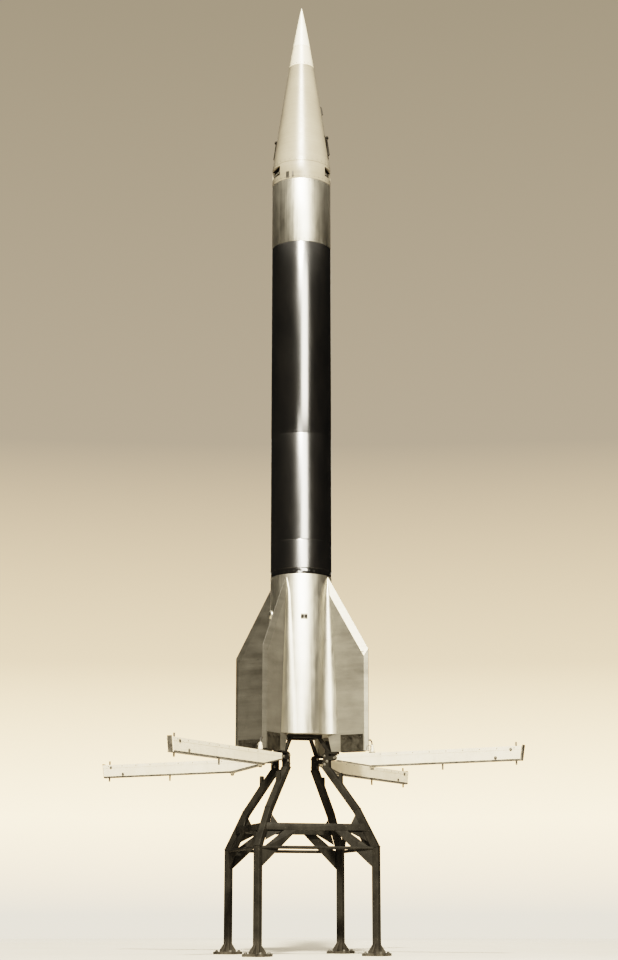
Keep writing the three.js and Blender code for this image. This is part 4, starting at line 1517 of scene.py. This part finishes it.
@dataclass
class LaunchTable:
    """The four-legged launch table with its seat frame, heads, legs and frame sides."""

    leg_half: float = 0.029
    leg_top: Pair = (0.256, 1.592)
    bend: Pair = (0.555, 1.215)
    kink: Pair = (0.735, 0.897)
    frame_z: float = 1.066
    frame_half: float = 0.029
    foot_half: float = 0.095
    foot_thick: float = 0.022
    head_half: float = 0.026
    head_bolts: tuple[Pair, ...] = ((0.250, 1.615), (0.275, 1.640), (0.250, 1.688))
    bead: float = 0.0042
    stop_u: Pair = (0.387, 0.409)
    stop_z: Pair = (1.5358, 1.5375)

    def leg_u(self, z: float) -> float:
        """The distance of a leg's centre line from the rocket's axis.

        Args:
            z: The height.

        Returns:
            The distance there.
        """
        low, high = (self.kink, self.bend) if z < self.bend[1] else (self.bend, self.leg_top)
        share = max(0.0, (z - low[1]) / (high[1] - low[1]))
        return low[0] + (high[0] - low[0]) * share

    def dress_nodes(self) -> None:
        """Dresses the table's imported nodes."""
        FINISH.table_paint.dress_node("seat_frame", 0.003)
        for quarter in Quarter:
            for kind, edge in (("leg_head", 0.002), ("leg", 0.006), ("frame_side", 0.002)):
                FINISH.table_paint.dress_node(f"{kind}_{quarter.label}", edge)

    def build_beads(self) -> None:
        """Adds the weld beads round the legs' bends, on the foot plates and along the frame's plates."""
        half = self.leg_half
        lean_low = math.atan2(self.kink[0] - self.bend[0], self.bend[1] - self.kink[1])
        lean_high = math.atan2(self.bend[0] - self.leg_top[0], self.leg_top[1] - self.bend[1])
        rings = [((self.kink[0], self.foot_thick), 0.0, 0.0), (self.kink, 0.0, lean_low),
                 (self.bend, lean_low, lean_high)]
        runs = []
        for (u, z), first, second in rings:
            middle = (first + second) / 2
            reach = half / math.cos((second - first) / 2)
            along, rise = reach * math.cos(middle), reach * math.sin(middle)
            ring = [Vector((u + x * along, y * half, z + x * rise))
                    for x, y in ((-1, -1), (1, -1), (1, 1), (-1, 1))]
            runs += zip(ring, ring[1:] + ring[:1])
        for side in (-1.0, 1.0):
            for z in (self.frame_z - self.frame_half, self.frame_z + self.frame_half):
                u = self.leg_u(z)
                runs.append((Vector((u - half, side * half, z)), Vector((u + half, side * half, z))))
        for quarter in Quarter:
            draft = MeshDraft()
            for start, end in runs:
                draft.bead(quarter.turn @ start, quarter.turn @ end, self.bead)
            draft.piece(f"leg_weld_beads_{quarter.label}", FINISH.table_paint, sharp=60.0)

    def build_feet(self) -> None:
        """Adds the anchor bolts of the foot plates and the gussets on them."""
        reach = self.foot_half - 0.024
        rim = self.foot_half - 0.012
        wedge = [(self.leg_half, 0.0), (rim, 0.0), (rim, 0.012), (self.leg_half, 0.085)]
        for quarter in Quarter:
            foot = quarter.turn @ Matrix.Translation((self.kink[0], 0.0, self.foot_thick))
            bolts, gussets = MeshDraft(), MeshDraft()
            for x in (-reach, reach):
                for y in (-reach, reach):
                    bolts.bolt(foot @ Matrix.Translation((x, y, 0.0)), 0.012, 0.014)
            bolts.piece(f"foot_bolts_{quarter.label}", FINISH.fitting_steel)
            for degrees in (0.0, 90.0, 180.0, 270.0):
                place = foot @ Matrix.Translation((0.0, 0.0, -0.0005)) @ about_axis(degrees)
                gussets.prism(wedge, -0.004, 0.004, place)
            gussets.piece(f"foot_gussets_{quarter.label}", FINISH.table_paint)

    def build_head_fittings(self) -> None:
        """Adds the bolts of the leg heads and the pads of the arm stops."""
        for quarter in Quarter:
            turn = quarter.turn
            bolts = MeshDraft()
            for side in (-1.0, 1.0):
                for u, z in self.head_bolts:
                    place = turn @ facing((u, side * self.head_half, z), (0.0, side, 0.0))
                    bolts.bolt(place, 0.009, 0.008)
            bolts.piece(f"leg_head_bolts_{quarter.label}", FINISH.fitting_steel)
            (start, end), (low, high) = self.stop_u, self.stop_z
            pad = MeshDraft().block((start, -0.018, low), (end, 0.018, high), turn)
            pad.piece(f"arm_stop_pad_{quarter.label}", FINISH.cable_rubber)

    def build(self) -> None:
        """Builds and dresses the table."""
        self.dress_nodes()
        self.build_beads()
        self.build_feet()
        self.build_head_fittings()


@dataclass(frozen=True)
class Softbox:
    """A soft light, turned in degrees to the right of the camera and facing the rocket's axis."""

    name: str
    turned: float
    distance: float
    height: float
    width: float
    tall: float
    radiance: float


@dataclass
class Studio:
    """The camera at the photograph's angle, the pale floor, the backdrop and the soft lights."""

    azimuth: float = 28.94
    pitch: float = 13.3612
    distance: float = 16.2644
    axis_shift: float = 0.07179
    eye_height: float = 0.3396
    focal_px: float = 1829.3
    long_side_px: float = 960.0
    sensor_mm: float = 36.0
    floor_radius: float = 13.0
    floor_fade: float = 7.0
    floor_tones: tuple[Colour, Colour] = ((0.59, 0.535, 0.445), (0.64, 0.585, 0.497))
    floor_gap: float = 0.0005
    light_colour: Colour = (1.0, 0.935, 0.81)
    sky_colour: Colour = (1.0, 0.93, 0.80)
    softboxes: tuple[Softbox, ...] = (
        Softbox("key_strip", 13.0, 9.0, 8.3, 3.4, 7.4, 14.0),
        Softbox("low_strip", -4.0, 9.0, 2.75, 2.2, 3.5, 9.0),
        Softbox("back_strip", 180.0, 10.0, 9.0, 3.4, 16.0, 2.5),
    )
    sun_turn: float = -1.0
    sun_height: float = 40.0
    sun_width: float = 4.0
    sun_power: float = 7.5
    bright_side: float = -40.0
    side_reach: Pair = (-0.9, 0.9)
    side_glow: Pair = (0.03, 0.07)
    top_glow: float = 0.68
    top_start: Pair = (0.52, 0.66)
    backdrop: tuple[tuple[float, Colour], ...] = (
        (0.0, (1.40, 1.24, 0.96)), (0.05, (3.3, 2.25, 1.25)), (0.132, (1.30, 0.93, 0.56)),
        (0.25, (0.448, 0.365, 0.263)), (0.466, (0.334, 0.277, 0.196)),
    )

    def direction(self, turned: float) -> Vector:
        """The level direction from the rocket towards the camera, turned to the camera's right."""
        angle = math.radians(self.azimuth + turned)
        return Vector((math.sin(angle), -math.cos(angle), 0.0))

    def build_camera(self) -> None:
        """Places the camera and makes it the scene's."""
        data = bpy.data.cameras.new("studio_camera")
        data.sensor_width = self.sensor_mm
        data.lens = self.focal_px / self.long_side_px * self.sensor_mm
        data.clip_end = 500.0
        camera = new_object("studio_camera", data)
        right = around(self.axis_shift, self.azimuth, 0.0)
        camera.location = self.direction(0.0) * self.distance + right
        camera.location.z = self.eye_height
        camera.rotation_euler = (math.radians(90.0 + self.pitch), 0.0, math.radians(self.azimuth))
        bpy.context.scene.camera = camera

    def build_floor(self) -> None:
        """Lays the pale floor."""
        sheet = ShaderSheet("studio_floor")
        tone = sheet.noise(1.6, 5.0, roughness=0.6)
        tint = sheet.blend(sheet.remap(tone, 0.3, 0.7), *self.floor_tones)
        level = sheet.tree.nodes.new("ShaderNodeVectorMath")
        level.operation = "LENGTH"
        sheet.feed(level.inputs[0], sheet.place)
        shown = sheet.remap(level.outputs["Value"], self.floor_fade, self.floor_radius, 1.0, 0.0)
        sheet.set(Base_Color=tint, Roughness=0.85, Alpha=shown)
        work = bmesh.new()
        bmesh.ops.create_circle(work, cap_ends=True, segments=96, radius=self.floor_radius)
        mesh = bpy.data.meshes.new("studio_floor")
        work.to_mesh(mesh)
        work.free()
        mesh.materials.append(sheet.material)
        floor = new_object("studio_floor", mesh)
        floor.location.z = -self.floor_gap

    def build_light(self, name: str, kind: str, away: Vector) -> bpy.types.Object:
        """Hangs one light that shines towards the rocket.

        Args:
            name: The light's name.
            kind: Blender's name for the kind of light.
            away: The direction from the rocket to the light.

        Returns:
            The light.
        """
        data = bpy.data.lights.new(name, kind)
        data.color = self.light_colour
        light = new_object(name, data)
        light.rotation_euler = away.to_track_quat("Z", "Y").to_euler()
        return light

    def build_lights(self) -> None:
        """Hangs the soft lights, which the camera doesn't see, and the distant one high up."""
        for box in self.softboxes:
            away = self.direction(box.turned) * box.distance
            light = self.build_light(box.name, "AREA", away)
            light.location = away + Vector((0.0, 0.0, box.height))
            light.visible_camera = False
            light.data.shape = "RECTANGLE"
            light.data.size = box.width
            light.data.size_y = box.tall
            light.data.energy = box.radiance * math.pi * box.width * box.tall
        height = math.radians(self.sun_height)
        away = self.direction(self.sun_turn) * math.cos(height) + Vector((0.0, 0.0, math.sin(height)))
        sun = self.build_light("distant_light", "SUN", away)
        sun.data.energy = self.sun_power
        sun.data.angle = math.radians(self.sun_width)

    def glow(self, tree: bpy.types.NodeTree, value: bpy.types.NodeSocket, reach: Pair,
             strengths: Pair) -> bpy.types.Node:
        """Spreads a value of the backdrop over a range of strengths.

        Args:
            tree: The backdrop's nodes.
            value: The value that is read.
            reach: The values between which the strength changes.
            strengths: The strength at the first and at the second.

        Returns:
            The node that spreads it.
        """
        node = tree.nodes.new("ShaderNodeMapRange")
        tree.links.new(value, node.inputs["Value"])
        for name, number in zip(("From Min", "From Max", "To Min", "To Max"), (*reach, *strengths)):
            node.inputs[name].default_value = number
        return node

    def build_world(self) -> None:
        """Sets the backdrop that the camera sees and the soft light that the rocket gets from it."""
        world = bpy.data.worlds.new("studio_backdrop")
        bpy.context.scene.world = world
        world.use_nodes = True
        tree = world.node_tree
        tree.nodes.clear()
        add, link = tree.nodes.new, tree.links.new
        place = add("ShaderNodeTexCoord").outputs["Generated"]
        split = add("ShaderNodeSeparateXYZ")
        link(place, split.inputs[0])
        ramp = add("ShaderNodeValToRGB")
        link(split.outputs["Z"], ramp.inputs["Fac"])
        first, last = ramp.color_ramp.elements
        first.position, first.color = self.backdrop[0][0], (*self.backdrop[0][1], 1.0)
        last.position, last.color = self.backdrop[-1][0], (*self.backdrop[-1][1], 1.0)
        for position, colour in self.backdrop[1:-1]:
            ramp.color_ramp.elements.new(position).color = (*colour, 1.0)
        seen = add("ShaderNodeBackground")
        link(ramp.outputs["Color"], seen.inputs["Color"])

        across = add("ShaderNodeVectorMath")
        across.operation = "DOT_PRODUCT"
        link(place, across.inputs[0])
        across.inputs[1].default_value = self.direction(self.bright_side)
        side = self.glow(tree, across.outputs["Value"], self.side_reach, self.side_glow)
        high = self.glow(tree, split.outputs["Z"], self.top_start, (0.0, self.top_glow))
        high.interpolation_type = "SMOOTHSTEP"
        total = add("ShaderNodeMath")
        link(side.outputs[0], total.inputs[0])
        link(high.outputs[0], total.inputs[1])
        given = add("ShaderNodeBackground")
        given.inputs["Color"].default_value = (*self.sky_colour, 1.0)
        link(total.outputs[0], given.inputs["Strength"])

        mix = add("ShaderNodeMixShader")
        link(add("ShaderNodeLightPath").outputs["Is Camera Ray"], mix.inputs[0])
        link(given.outputs[0], mix.inputs[1])
        link(seen.outputs[0], mix.inputs[2])
        link(mix.outputs[0], add("ShaderNodeOutputWorld").inputs["Surface"])

    def build(self) -> None:
        """Sets up the whole studio."""
        self.build_camera()
        self.build_floor()
        self.build_lights()
        self.build_world()
        view = bpy.context.scene.view_settings
        view.view_transform = "Filmic"
        view.look = "High Contrast"


def main() -> None:
    """Builds every sub-assembly in order."""
    logging.basicConfig(level=logging.INFO, format="%(name)s: %(message)s")
    Studio().build()
    RocketBody().build()
    TailUnit().build()
    for quarter in Quarter:
        GuideArm(quarter).build()
    LaunchTable().build()


if __name__ == "__main__":
    main()
